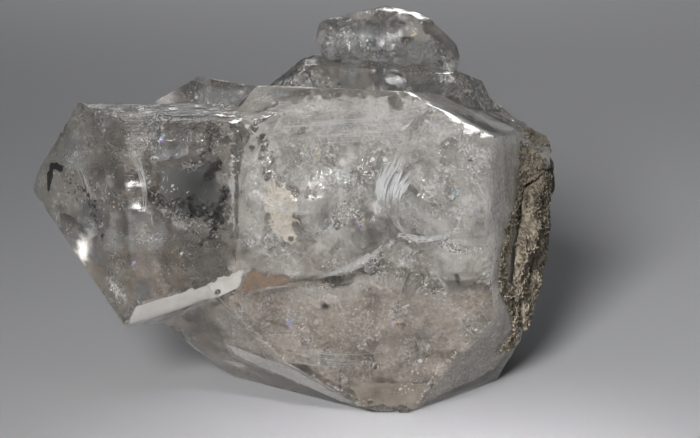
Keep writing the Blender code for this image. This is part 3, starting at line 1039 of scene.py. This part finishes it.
TIP_WEDGE = [(-60.3, 49.4), (-56.4, 49.6), (-57.2, 46.6), (-59.0, 47.6), (-60.2, 42.6),
             (-61.6, 42.0), (-61.8, 46.0)]
BROWN_UNDER_LIP = [(-19.8, 32.6), (-15.0, 31.6), (-9.0, 29.6), (-12.0, 28.0), (-18.0, 26.6),
               (-22.6, 24.6)]
CREAM_PATCH = [(-17.4, 48.5), (-13.0, 49.5), (-9.8, 47.0), (-9.0, 41.0), (-10.5, 36.4),
               (-14.2, 37.0), (-16.6, 41.0)]
print("the milky front has", len(MILKY_FRONT), "corners")

# %% Finishes of the patches
def plain_finish(name, light, shade, roughness):
    finish = Finish(name)
    mottle = finish.grain(420, 4.0, 0.6)
    finish.surface(Base_Color=finish.blend(mottle.above(0.5, 0.2), shade, light),
                   Roughness=roughness + 0.2 * mottle)
    finish.relief(mottle, 0.0005, 0.7)
    return finish.material


# painted reflection: the black and grey of a crack that mirrors a dark room
REFLECTED_DARK, REFLECTED_GREY = (0.003, 0.003, 0.003, 1), (0.115, 0.113, 0.108, 1)


def painted_reflection_finish(name, middle, reach):
    """Painted reflection: near black at a point and grey away from it, as a crack that mirrors a
    dark room.
    """
    finish = Finish(name)
    spot = finish.node("ShaderNodeVectorMath", {"operation": "DISTANCE"}, finish.place,
                       tuple((Vector(middle) + SHIFT) * MM), out="Value")
    half = reach * 0.5 * MM
    tint = finish.blend(spot.above(half, half), REFLECTED_DARK, REFLECTED_GREY)
    finish.surface(Base_Color=tint, Roughness=0.30)
    return finish.material


PAINTED_RIM_LIGHT = milk_finish("pale quartz", RIM_LIGHT_TONES)
LOW_BROWN = milk_finish("brown smoke", BROWN_TONES)
CREAM = milk_finish("creamy quartz", CREAM_TONES)
# painted light: near white for the light that the facet under the left crystal catches
PAINTED_LIGHT_FACET = plain_finish("pale facet", (0.96, 0.93, 0.89, 1), (0.80, 0.76, 0.71, 1), 0.3)
# smoky brown, partly painted light: lighter than the shade the foot's tip would show
TIP_SMOKE_AND_LIGHT = plain_finish("tip smoke", (0.40, 0.345, 0.29, 1), (0.24, 0.20, 0.16, 1), 0.4)
PAINTED_REFLECTION = painted_reflection_finish("dark mirror", (-29.5, -43, 48.5), 6.5)
WEDGE = plain_finish("black wedge", (0.03, 0.03, 0.03, 1), (0.006, 0.006, 0.006, 1), 0.1)
# a darker brown for the patch under the main crystal's lip
BROWN_LIP_PATCH = plain_finish("rust stain", (0.32, 0.225, 0.155, 1), (0.12, 0.08, 0.055, 1), 0.4)
print("patch finishes", PAINTED_LIGHT_FACET.name, TIP_SMOKE_AND_LIGHT.name, PAINTED_REFLECTION.name, WEDGE.name, BROWN_LIP_PATCH.name)

# %% Laying the patches
skin_patch("milky_front", MILKY_FRONT, 6.5, MILK, step=0.5, ragged=1.5, wave=3.6)
skin_patch("smoky_foot", SMOKY_FOOT, 6.0, MILK, step=0.5, ragged=1.5, wave=3.0)
skin_patch("smoky_waist", SMOKY_WAIST, 9.0, MILK, step=0.6, ragged=1.0, wave=2.2)
skin_patch("milky_right", MILKY_RIGHT, 7.0, MILK, step=0.5, ragged=1.5, wave=3.0)
# painted light: the bright rim and facet along the foot's bottom-left edge
skin_patch("low_left_facet", LOW_LEFT_FACET, 1.2, PAINTED_RIM_LIGHT, ragged=0.6)
skin_patch("low_right_facet", LOW_RIGHT_FACET, 1.2, LOW_BROWN, ragged=0.6)
# painted light on the facet under the left crystal
skin_patch("pale_facet", PALE_FACET, 1.0, PAINTED_LIGHT_FACET, ragged=0.05)
# smoky brown tip, partly painted light over the shade where the foot meets the floor
skin_patch("foot_tip", FOOT_TIP, 2.2, TIP_SMOKE_AND_LIGHT, ragged=1.2)
# painted reflection: a dark patch behind the left crystal's front face
skin_patch("dark_mirror", DARK_REFLECTION_OUTLINE, 3.0, PAINTED_REFLECTION, ragged=1.2)
skin_patch("tip_wedge", TIP_WEDGE, 0.5, WEDGE)
# a darker brown patch under the main crystal's lip
skin_patch("rust_corner", BROWN_UNDER_LIP, 0.9, BROWN_LIP_PATCH, ragged=1.4)
skin_patch("cream_patch", CREAM_PATCH, 1.8, CREAM, ragged=2.4, wave=0.8)

# %% [markdown]
# ## Seams
# Where one growth ends on another, a line of specks is left: bright, smoky or black.  It
# is drawn as a route in front view, and flakes are strewn along it just below the skin.

# %% Flakes along a route
SEAM_DEPTH = 0.5            # mm


def seam(route, depth, count, spread, size, pile):
    """Flakes strewn along a line given in front view."""
    lengths = [math.dist(a, b) for a, b in zip(route, route[1:])]
    for _ in range(count):
        way = draw.uniform(0, sum(lengths))
        for (start, end), length in zip(zip(route, route[1:]), lengths):
            if way <= length:
                break
            way -= length
        x, z = (a + (b - a) * way / length + draw.normal() * spread for a, b in zip(start, end))
        spot = skin_point(x, z, depth + abs(draw.normal()) * 0.4)
        if spot is not None and fits(spot, "seam"):
            pile.append(flake(spot, Vector((0, -1, 0)), 0.8, size))


print("seam depth in mm", SEAM_DEPTH)

# %% The seams
# route, count, spread, size, finish
SEAMS = [
    ([(-1.9, 31.1), (1.9, 32.7), (5.8, 35.4), (8.7, 37.4)], 260, 0.35, 0.15, "milk"),
    ([(9.5, 38.6), (12.6, 37.7), (14.5, 37.8), (18.3, 38.6), (21.0, 40.0)], 300, 0.3, 0.16,
     "milk"),
    ([(-24, 24.5), (-19.5, 26.8), (-14.6, 28.3), (-4, 28.3)], 260, 0.25, 0.16, "smoke"),
    ([(-43, 57.5), (-40.5, 52), (-38, 48), (-36.5, 43)], 150, 0.4, 0.16, "glint"),
    ([(-22.8, 53), (-22.8, 44)], 120, 0.12, 0.13, "glint"),
    ([(-19.6, 61.5), (-18.2, 60.7), (-17.1, 58.7)], 160, 0.4, 0.18, "milk"),
    ([(17, 36), (27, 35.6), (26.6, 28)], 200, 0.4, 0.13, "milk"),
    ([(9.5, 44.5), (14, 42), (19, 45)], 320, 1.1, 0.16, "glint"),
    ([(-52, 38.4), (-44, 37.6), (-36, 37.4)], 260, 0.5, 0.10, "milk"),
    ([(-50, 34.5), (-42, 35.2), (-30, 35.6)], 260, 0.6, 0.10, "smoke"),
    ([(-50, 58.6), (-38, 58.8), (-26, 58.4)], 420, 0.7, 0.10, "dark"),
    ([(-46, 60.2), (-34, 60.4), (-22, 60.2)], 420, 0.6, 0.10, "milk"),
    ([(-10, 62.0), (4, 60.5), (16, 60.8), (27, 58.6)], 500, 0.8, 0.10, "milk"),
    ([(-33, 46), (-29.5, 43.5), (-25, 41)], 260, 0.9, 0.30, "dark"),
    ([(-25.0, 53), (-28.0, 49.5)], 120, 0.4, 0.30, "dark"),
    ([(-23.8, 48), (-26.8, 38)], 170, 0.4, 0.32, "dark"),
    ([(-32, 52), (-28, 52.5)], 80, 0.6, 0.22, "glint"),
    ([(-37, 44), (-35, 42.5), (-30, 41)], 130, 0.7, 0.20, "glint"),
    ([(-47.4, 27.8), (-44.5, 24.8)], 200, 0.6, 0.18, "milk"),
    ([(-55, 46), (-50, 42), (-49, 37)], 160, 0.8, 0.24, "dark"),
    ([(-57, 50), (-50, 54)], 160, 0.6, 0.18, "glint"),
    ([(-26, 9.2), (-12, 5.6), (3.0, 1.6)], 300, 0.25, 0.14, "milk"),
    ([(-24, 24), (-12, 10.8), (3.4, 2.0)], 260, 0.15, 0.12, "milk"),
    ([(13.4, 2.0), (17.6, 10.0), (28.6, 21)], 260, 0.15, 0.12, "milk"),
]
strands = {name: [] for name in INNER_FINISHES}
for route, count, spread, size, finish_name in SEAMS:
    seam(route, SEAM_DEPTH, count, spread, size, strands[finish_name])
for name, flakes in strands.items():
    add_flakes("seam_" + name, flakes, INNER_FINISHES[name])

# %% [markdown]
# ## Silky strokes
# Where quartz has been struck, or one growth has slid over another, the face carries thin
# curved ribs that catch the light as a brush stroke does, and one blow on the main crystal
# has left a whole fan of them.  Bubbles are too round for this, so each rib is a narrow
# ribbon, widest in its middle, on a curve of three points.  The light that the ribs catch
# is painted highlight: pale silver, and white in the fan.  Grey ribs in and beside the fan
# are painted shadow, with grey scratches among them.

# %% Where the strokes lie
# start, bend and end in mm as seen from the front, count, spread, width
STROKES = [
    ((-1.9, 31.3), (2.3, 32.1), (5.9, 35.7), 16, 0.45, 0.13),
    ((9.6, 38.7), (14.6, 36.6), (21.3, 39.9), 22, 0.45, 0.15),
    ((8.2, 43.6), (9.8, 37.7), (15.6, 37.7), 12, 0.5, 0.12),
    ((11.0, 46.0), (13.5, 41.5), (19.0, 41.0), 12, 0.7, 0.12),
    ((17.2, 35.7), (16.2, 27.8), (20.5, 27.2), 7, 0.3, 0.09),
    ((27.3, 36.7), (29.3, 31.7), (25.4, 27.4), 7, 0.3, 0.09),
    ((-18.5, 58.0), (0.0, 58.7), (17.6, 60.6), 12, 0.7, 0.08),
    ((-16.0, 55.0), (2.0, 58.5), (20.0, 57.0), 10, 1.5, 0.08),
    ((-8.2, 29.9), (-0.8, 30.6), (6.1, 36.1), 18, 0.4, 0.12),
    ((-23.0, 25.6), (-17.0, 28.4), (-8.0, 28.6), 14, 0.4, 0.10),
    ((-44.9, 38.5), (-37.2, 36.6), (-30.5, 38.2), 3, 1.0, 0.05),
    ((-22.7, 51.5), (-22.5, 48.0), (-22.7, 44.4), 6, 0.12, 0.20),
    ((-43.9, 58.0), (-38.0, 50.0), (-40.0, 42.5), 12, 0.5, 0.13),
    ((-56.0, 52.0), (-50.0, 46.0), (-52.0, 40.0), 8, 0.8, 0.11),
    ((22.0, 52.0), (27.0, 48.0), (28.0, 41.0), 12, 1.0, 0.11),
    ((-18.0, 46.0), (-12.0, 42.5), (-4.0, 43.5), 12, 1.2, 0.09),
    ((-20.0, 16.0), (-4.0, 9.0), (8.0, 12.0), 12, 1.5, 0.09),
]
FAN_EDGE_SHADOW = ((4.6, 45.4), (4.2, 48.0), (5.6, 50.6), 5, 0.15, 0.34)
FAN_RIBS = 64
FAN_LEFT, FAN_RIGHT = ((5.1, 44.8), (6.1, 51.6)), ((9.6, 43.8), (12.8, 50.8))


def fan_strokes():
    """Ribs side by side, longest in the middle of the fan."""
    strokes = []
    for index in range(FAN_RIBS):
        way = index / (FAN_RIBS - 1)
        foot = Vector(FAN_LEFT[0]).lerp(Vector(FAN_RIGHT[0]), way)
        tip = Vector(FAN_LEFT[1]).lerp(Vector(FAN_RIGHT[1]), way)
        tip.y += 2.7 * math.sin(math.pi * way) + draw.uniform(-2.6, 0.7)
        foot.y += draw.uniform(-0.9, 1.2)
        bend = (foot + tip) / 2 + Vector((-1.3, 0.4))
        strokes.append((tuple(foot), tuple(bend), tuple(tip), 1, 0.12, 0.27))
    return strokes


def scattered_strokes(x_range, z_range, count, width):
    """Short curved scratches in any direction."""
    strokes = []
    for _ in range(count):
        start = Vector((draw.uniform(*x_range), draw.uniform(*z_range)))
        way = Vector(draw.normal(size=2)).normalized() * draw.uniform(1.2, 4.0)
        bend = start + way / 2 + Vector((-way.y, way.x)) * draw.uniform(-0.3, 0.3)
        strokes.append((tuple(start), tuple(bend), tuple(start + way), 1, 0.0, width))
    return strokes


def scratches(upper, lower, left):
    """Scattered strokes on the upper, lower and left parts, each a count and a width."""
    return (scattered_strokes((-22, 34), (28, 62), *upper)
            + scattered_strokes((-24, 30), (4, 28), *lower)
            + scattered_strokes((-60, -24), (22, 58), *left))


print(len(STROKES), "bundles of strokes and a fan of", FAN_RIBS)

# %% Ribbons on curves
RIBBON_STEPS = 12


def ribbon(a, b, c, width, depth, first, last):
    """The faces of one ribbon, each four points, where the skin allows it."""
    faces, row = [], []
    for step in range(RIBBON_STEPS + 1):
        t = first + (last - first) * step / RIBBON_STEPS
        middle = a * (1 - t) ** 2 + b * (2 * t * (1 - t)) + c * t * t
        along = ((b - a) * (1 - t) + (c - b) * t).normalized()
        half = width / 2 * math.sin(math.pi * (step + 0.3) / (RIBBON_STEPS + 0.6))
        side = Vector((-along.y, along.x)) * half
        pair = [skin_point(middle.x + side.x * k, middle.y + side.y * k, depth) for k in (-1, 1)]
        if None in pair or not fits(pair[0], "ribbon"):
            pair = []
        elif row:
            faces.append((row[0], row[1], pair[1], pair[0]))
        row = pair
    return faces


def add_ribbons(name, strokes, depth, material):
    quads = []
    for start, bend, end, count, spread, width in strokes:
        for _ in range(count):
            a, b, c = (Vector(p) + Vector(draw.normal(size=2)) * spread
                       for p in (start, bend, end))
            first, last = sorted(draw.uniform(0, 0.35, 2) * np.array((1, -1)) % 1)
            size, below = width * draw.uniform(0.5, 1.3), depth + abs(draw.normal()) * 0.5
            quads += ribbon(a, b, c, size, below, first, last)
    points = [point for quad in quads for point in quad]
    faces = [range(start, start + 4) for start in range(0, len(points), 4)]
    add_piece(name, plain_mesh(name, points, faces), material)
    print(name, len(faces), "faces")


# painted highlight: pale silver for the light that the ribs catch
rib_highlight = plain_finish("silver rib", (0.93, 0.93, 0.92, 1), (0.60, 0.60, 0.59, 1), 0.2)
bright = STROKES + scratches((130, 0.13), (60, 0.11), (50, 0.10))
add_ribbons("silky_strokes", bright, 0.7, rib_highlight)
# painted highlight: white for the light on the fan's ribs
fan_highlight = plain_finish("fan silver", (1.0, 1.0, 1.0, 1), (0.85, 0.85, 0.85, 1), 0.2)
add_ribbons("bright_fan", fan_strokes(), 0.5, fan_highlight)
# painted shadow in and beside the fan, and grey scratches
grey_rib_and_shadow = plain_finish("grey rib", (0.40, 0.40, 0.39, 1), (0.16, 0.16, 0.16, 1), 0.3)
dark = fan_strokes()[::9] + [FAN_EDGE_SHADOW] + scratches((90, 0.10), (40, 0.09), (40, 0.10))
add_ribbons("fan_shadows", dark, 0.3, grey_rib_and_shadow)

# %% [markdown]
# ## Film colours
# A crack that is thinner than a hair shows the colours of a soap film.  They are faint and
# small, so a few pale tinted flakes at chosen spots are enough.

# %% Glints in the colours of thin films
FILM_COLOURS = {"violet": (0.74, 0.54, 0.95), "sea": (0.52, 0.80, 0.95),
                "amber": (0.97, 0.80, 0.54)}
FILM_SPOTS = [(27.2, 29.0), (27.8, 27.6), (16.5, 60.6), (17.2, 59.0), (32.0, 52.5), (32.4, 50.6),
              (8.8, 20.0), (-36.0, 57.2), (-46.5, 49.0), (-42.0, 33.0), (20.0, 47.0), (-6.0, 54.0),
              (2.0, 41.0), (-12.0, 20.0), (12.0, 13.0), (24.0, 43.0), (4.0, 70.0), (14.0, 72.0)]
FILM_DEPTH, FILM_FLAKES = 0.4, 9
for number, (name, colour) in enumerate(FILM_COLOURS.items()):
    # each colour has every third spot, and shares a few of the next colour's
    film = []
    for x, z in FILM_SPOTS[number::3] + FILM_SPOTS[(number + 1) % 3::6]:
        route = [(x - 0.4, z - 0.3), (x + 0.4, z + 0.3)]
        seam(route, FILM_DEPTH, FILM_FLAKES, 0.35, 0.20, film)
    add_flakes("film_" + name, film, foil_finish(name + " film", colour, 0.2, 0.0))

# %% [markdown]
# ## Crumbs of rock
# The host rock does not end in a clean line.  Grains of it stay stuck to the quartz all
# along the border, thick near the rock and thinning out, so they are strewn one by one on
# the skin as small ragged stones.

# %% One crumb
stone = bmesh.new()
bmesh.ops.create_icosphere(stone, subdivisions=1, radius=1)
STONE_CORNERS = [corner.co.copy() for corner in stone.verts]
STONE_FACES = [[corner.index for corner in face.verts] for face in stone.faces]
stone.free()


def crumb(chance, spot, radius):
    """A ragged stone: the twelve corners of an icosahedron pushed in and out."""
    turn = Euler(chance.uniform(0, math.tau, 3)).to_matrix()
    size = Vector((chance.uniform(0.7, 1.2), chance.uniform(0.7, 1.2), chance.uniform(0.6, 1.0)))
    return [spot + turn @ (corner * chance.uniform(0.75, 1.2) * size) * radius
            for corner in STONE_CORNERS]


print("a crumb has", len(STONE_FACES), "triangles")

# %% Crumbs along the border
BORDER = [(36.5, -13.0, 50.5), (37.5, -14.0, 46.0), (36.0, -17.0, 41.5), (34.2, -22.0, 37.5),
          (31.2, -32.0, 33.5), (30.2, -36.0, 29.5), (31.0, -33.0, 24.5), (34.0, -25.0, 20.0),
          (34.2, -24.5, 14.0), (33.4, -24.0, 8.0)]
BORDER_GRAINS = 150             # for each stretch of the border
# middle in mm, reach in mm, count
CRUMB_FIELDS = [((39.5, -6.0, 49.6), 3.2, 420), ((43.0, 1.0, 47.5), 3.0, 240),
                ((36.8, -14.0, 43.0), 2.6, 260)]
ROCK_GRAINS = 3600
FARTHEST = 3.0                  # mm from the skin, crumbs strewn further out are dropped
CLEAR_EDGE = 1.2                # mm kept free at the right, the back and the foot


def crumb_spots(chance):
    """Chance places along the border and in the fields, in mm."""
    spots = []
    for start, end in zip(BORDER, BORDER[1:]):
        for _ in range(BORDER_GRAINS):
            way = chance.uniform(0, 1)
            spot = Vector(start).lerp(Vector(end), way) + Vector(chance.normal(size=3)) * 0.7
            spot.x += chance.normal() * 1.0
            spot.y += chance.normal() * 1.6
            spots.append(spot)
    for middle, reach, count in CRUMB_FIELDS:
        spots.extend(Vector(middle) + Vector(chance.normal(size=3)) * reach * 0.6
                     for _ in range(count))
    return spots


def strew_crumbs():
    chance = np.random.default_rng(29)
    settled = []
    for spot in crumb_spots(chance):
        found, normal, _, distance = inside_tree.find_nearest((spot + SHIFT) * MM)
        if distance < FARTHEST * MM:
            settled.append((found, normal, chance.uniform(0.18, 0.60) * MM))
    middles, normals, areas = face_arrays(rock_mesh)
    for pick in chance.choice(len(areas), size=ROCK_GRAINS, p=areas / areas.sum()):
        radius = chance.uniform(0.14, 0.42) * MM
        settled.append((Vector(middles[pick]), Vector(normals[pick]), radius))
    points, faces, edge = [], [], CLEAR_EDGE * MM
    for found, normal, radius in settled:
        if found.x <= high.x - edge and found.y <= high.y - edge and found.z >= edge:
            join_on(points, faces, (crumb(chance, found + normal * radius * 0.1, radius),
                                    STONE_FACES))
    return points, faces


crumb_points, crumb_faces = strew_crumbs()
add_piece("crumbs", plain_mesh("crumbs", crumb_points, crumb_faces), dolostone)
print("crumbs", len(crumb_points) // len(STONE_CORNERS), len(crumb_faces), "triangles")

# %% [markdown]
# ## Mending the fine meshes
# Where the solids have needle-thin facets, splitting can lay two triangles back to back
# on the same three corners.  They enclose nothing and light does not see them, but a mesh
# that is to be used again should not carry them, so each such pair is taken out at the
# end, and a pin hole that is left is closed.

# %% Taking out folded triangles
PIN_HOLE_SIDES = 8


def folded_faces(mesh_data):
    """Faces that share their corners with another, save one where they don't cancel out."""
    same_corners = {}
    for face in mesh_data.faces:
        loop = [corner.index for corner in face.verts]
        first = loop.index(min(loop))
        turned = loop[first - 2] > loop[first - 1]      # which way round its corners run
        ways = same_corners.setdefault(tuple(sorted(loop)), ([], []))
        ways[turned].append(face)
    folded = []
    for ways in same_corners.values():
        fewer, more = sorted(ways, key=len)
        folded += fewer + more[:len(fewer)] + more[len(fewer) + 1:]
    return folded


def mend(mesh):
    """Take out folded triangles and close pin holes."""
    mesh_data = bmesh.new()
    mesh_data.from_mesh(mesh)
    folded = folded_faces(mesh_data)
    bmesh.ops.delete(mesh_data, geom=folded, context="FACES_ONLY")
    bare = [edge for edge in mesh_data.edges if not edge.link_faces]
    bmesh.ops.delete(mesh_data, geom=bare, context="EDGES")
    loose = [corner for corner in mesh_data.verts if not corner.link_faces]
    bmesh.ops.delete(mesh_data, geom=loose, context="VERTS")
    rims = [edge for edge in mesh_data.edges if edge.is_boundary]
    filled = bmesh.ops.holes_fill(mesh_data, edges=rims, sides=PIN_HOLE_SIDES)["faces"]
    bmesh.ops.triangulate(mesh_data, faces=filled)
    mesh_data.to_mesh(mesh)
    mesh_data.free()
    return len(folded)


for piece in (crystals, rock):
    print(piece.name, "folded triangles taken out", mend(piece.data))

# %% [markdown]
# ## Stage and camera
# A plain pale floor runs back out of sight and lies a hair below the cluster, so that the
# two do not fight for the same place.  The camera has a long lens and looks slightly down.

# %% Floor
FLOOR_SIZE, FLOOR_MIDDLE, FLOOR_DROP = 12, 3.0, 0.0001      # metres
FLOOR_COLOUR = (0.157, 0.157, 0.160, 1)


def make_floor():
    place = (0, FLOOR_MIDDLE, -FLOOR_DROP)
    bpy.ops.mesh.primitive_plane_add(size=FLOOR_SIZE, location=place)
    floor = bpy.context.active_object
    floor.name = "floor"
    finish = Finish("pale floor")
    finish.surface(Base_Color=FLOOR_COLOUR, Roughness=0.9, Specular_IOR_Level=0.1)
    floor.data.materials.append(finish.material)
    return floor


floor = make_floor()
print("floor of", FLOOR_SIZE, "metres")

# %% Camera
CAMERA_TARGET = Vector((10.69, 6.81, 32)) * MM
CAMERA_DISTANCE = 0.5       # metres
CAMERA_ELEVATION = 12       # degrees
CAMERA_LENS = 120.6         # mm
CAMERA_NEAR = 0.01          # metres


def aim(thing, place, target):
    thing.location = place
    thing.rotation_euler = (Vector(target) - Vector(place)).to_track_quat("-Z", "Y").to_euler()


def make_camera():
    camera = bpy.data.objects.new("camera", bpy.data.cameras.new("camera"))
    scene.collection.objects.link(camera)
    camera.data.lens = CAMERA_LENS
    camera.data.clip_start = CAMERA_NEAR
    aim(camera, CAMERA_TARGET + direction(-90, CAMERA_ELEVATION) * CAMERA_DISTANCE, CAMERA_TARGET)
    scene.camera = camera


make_camera()
print("camera lens in mm", CAMERA_LENS)

# %% [markdown]
# ## Light
# Glass shows what surrounds it, so its look is made by the lamps.  A soft key lamp stands
# in front, a little left and above the eye, and throws the shadow.  Small spark lamps and
# long strips are there for the glints that each facet and bubble picks out of them.  A
# lamp behind shines through the quartz and is linked to the cluster alone, so that the
# floor stays calm.  Wide lamps on all sides and a narrow one in front light the floor, and
# a dim dome fills the rest.

# %% The dome
WORLD_LOW, WORLD_HIGH = (0.075, 0.08, 0.085, 1), (0.28, 0.29, 0.30, 1)


def make_world():
    """A dome that is dim at the horizon and brighter overhead."""
    world = bpy.data.worlds.new("soft room")
    scene.world = world
    world.use_nodes = True
    room = Graph(world.node_tree)
    place = room.node("ShaderNodeTexCoord", out="Generated")
    height = room.node("ShaderNodeSeparateXYZ", (), place, out="Z")
    glow = room.node("ShaderNodeValToRGB", {"stops": (WORLD_LOW, WORLD_HIGH)}, height)
    room.feed(room.tree.nodes["Background"], Color=glow)


make_world()
print("dome", scene.world.name)

# %% Lamps on the cluster
LAMP_DISTANCE = 0.80        # metres
SPARK_SIZE, SPARK_POWER = 0.035, 0.16
STRIP_POWER = 0.27
SPARKS = ((-99, 20), (-62, 34), (60, 30), (118, 40))            # azimuth, elevation
STRIPS = ((-124, 32, 0.03, 0.45), (-56, 26, 0.03, 0.45),        # and width, height
          (-90, 58, 0.5, 0.03), (90, 30, 0.4, 0.04))


def soft_lamp(name, azimuth, elevation, size, power, distance=LAMP_DISTANCE):
    """A round area lamp, in metres and watts, that looks at the cluster."""
    lamp = bpy.data.objects.new(name, bpy.data.lights.new(name, "AREA"))
    scene.collection.objects.link(lamp)
    lamp.data.shape = "DISK"
    lamp.data.size = size
    lamp.data.energy = power
    lamp.visible_camera = False
    aim(lamp, CAMERA_TARGET + direction(azimuth, elevation) * distance, CAMERA_TARGET)
    return lamp


key = soft_lamp("key lamp", -101, 22, 0.20, 3.35)
aim(key, key.location, (0.14, 0.10, 0.03))
key.data.spread = math.radians(58)
key.visible_glossy = False
for azimuth, elevation in SPARKS:
    soft_lamp(f"spark lamp {azimuth}", azimuth, elevation, SPARK_SIZE, SPARK_POWER)
for azimuth, elevation, width, height in STRIPS:
    strip = soft_lamp(f"strip lamp {azimuth} {elevation}", azimuth, elevation, width, STRIP_POWER)
    strip.data.shape = "RECTANGLE"
    strip.data.size_y = height
back = soft_lamp("back lamp", 74, 45, 0.36, 5.0, distance=0.90)
lit_from_behind = bpy.data.collections.new("lit from behind")
for piece in scene.objects:
    if piece.type == "MESH" and piece != floor:
        lit_from_behind.objects.link(piece)
back.light_linking.receiver_collection = lit_from_behind

# %% Lamps on the floor
FLOOR_LAMPS = ((90, 1.1), (-90, 1.5), (0, 1.4), (180, 1.4))     # azimuth, metres away
for azimuth, reach in FLOOR_LAMPS:
    wide = soft_lamp(f"floor lamp {azimuth}", azimuth, 50, 0.8, 2.3)
    spot = direction(azimuth, 0) * reach
    aim(wide, spot + Vector((0, 0, 0.7)), spot * 0.86)
    wide.data.spread = math.radians(80)
pool = soft_lamp("pool lamp", -90, 50, 0.06, 0.118)
aim(pool, (0.05, -0.45, 0.45), (0.024, -0.100, 0))
pool.data.spread = math.radians(15)

# %% [markdown]
# ## The light's path
# Light crosses many skins, cracks and gaps inside a cluster, so its path may be long.  Very
# bright chance paths are clamped, or they would show as single white dots.

# %% Bounces and view
scene.cycles.sample_clamp_indirect = 6.0
scene.cycles.max_bounces = 16
scene.cycles.transmission_bounces = 14
scene.view_settings.view_transform = "Standard"
print("view", scene.view_settings.view_transform)
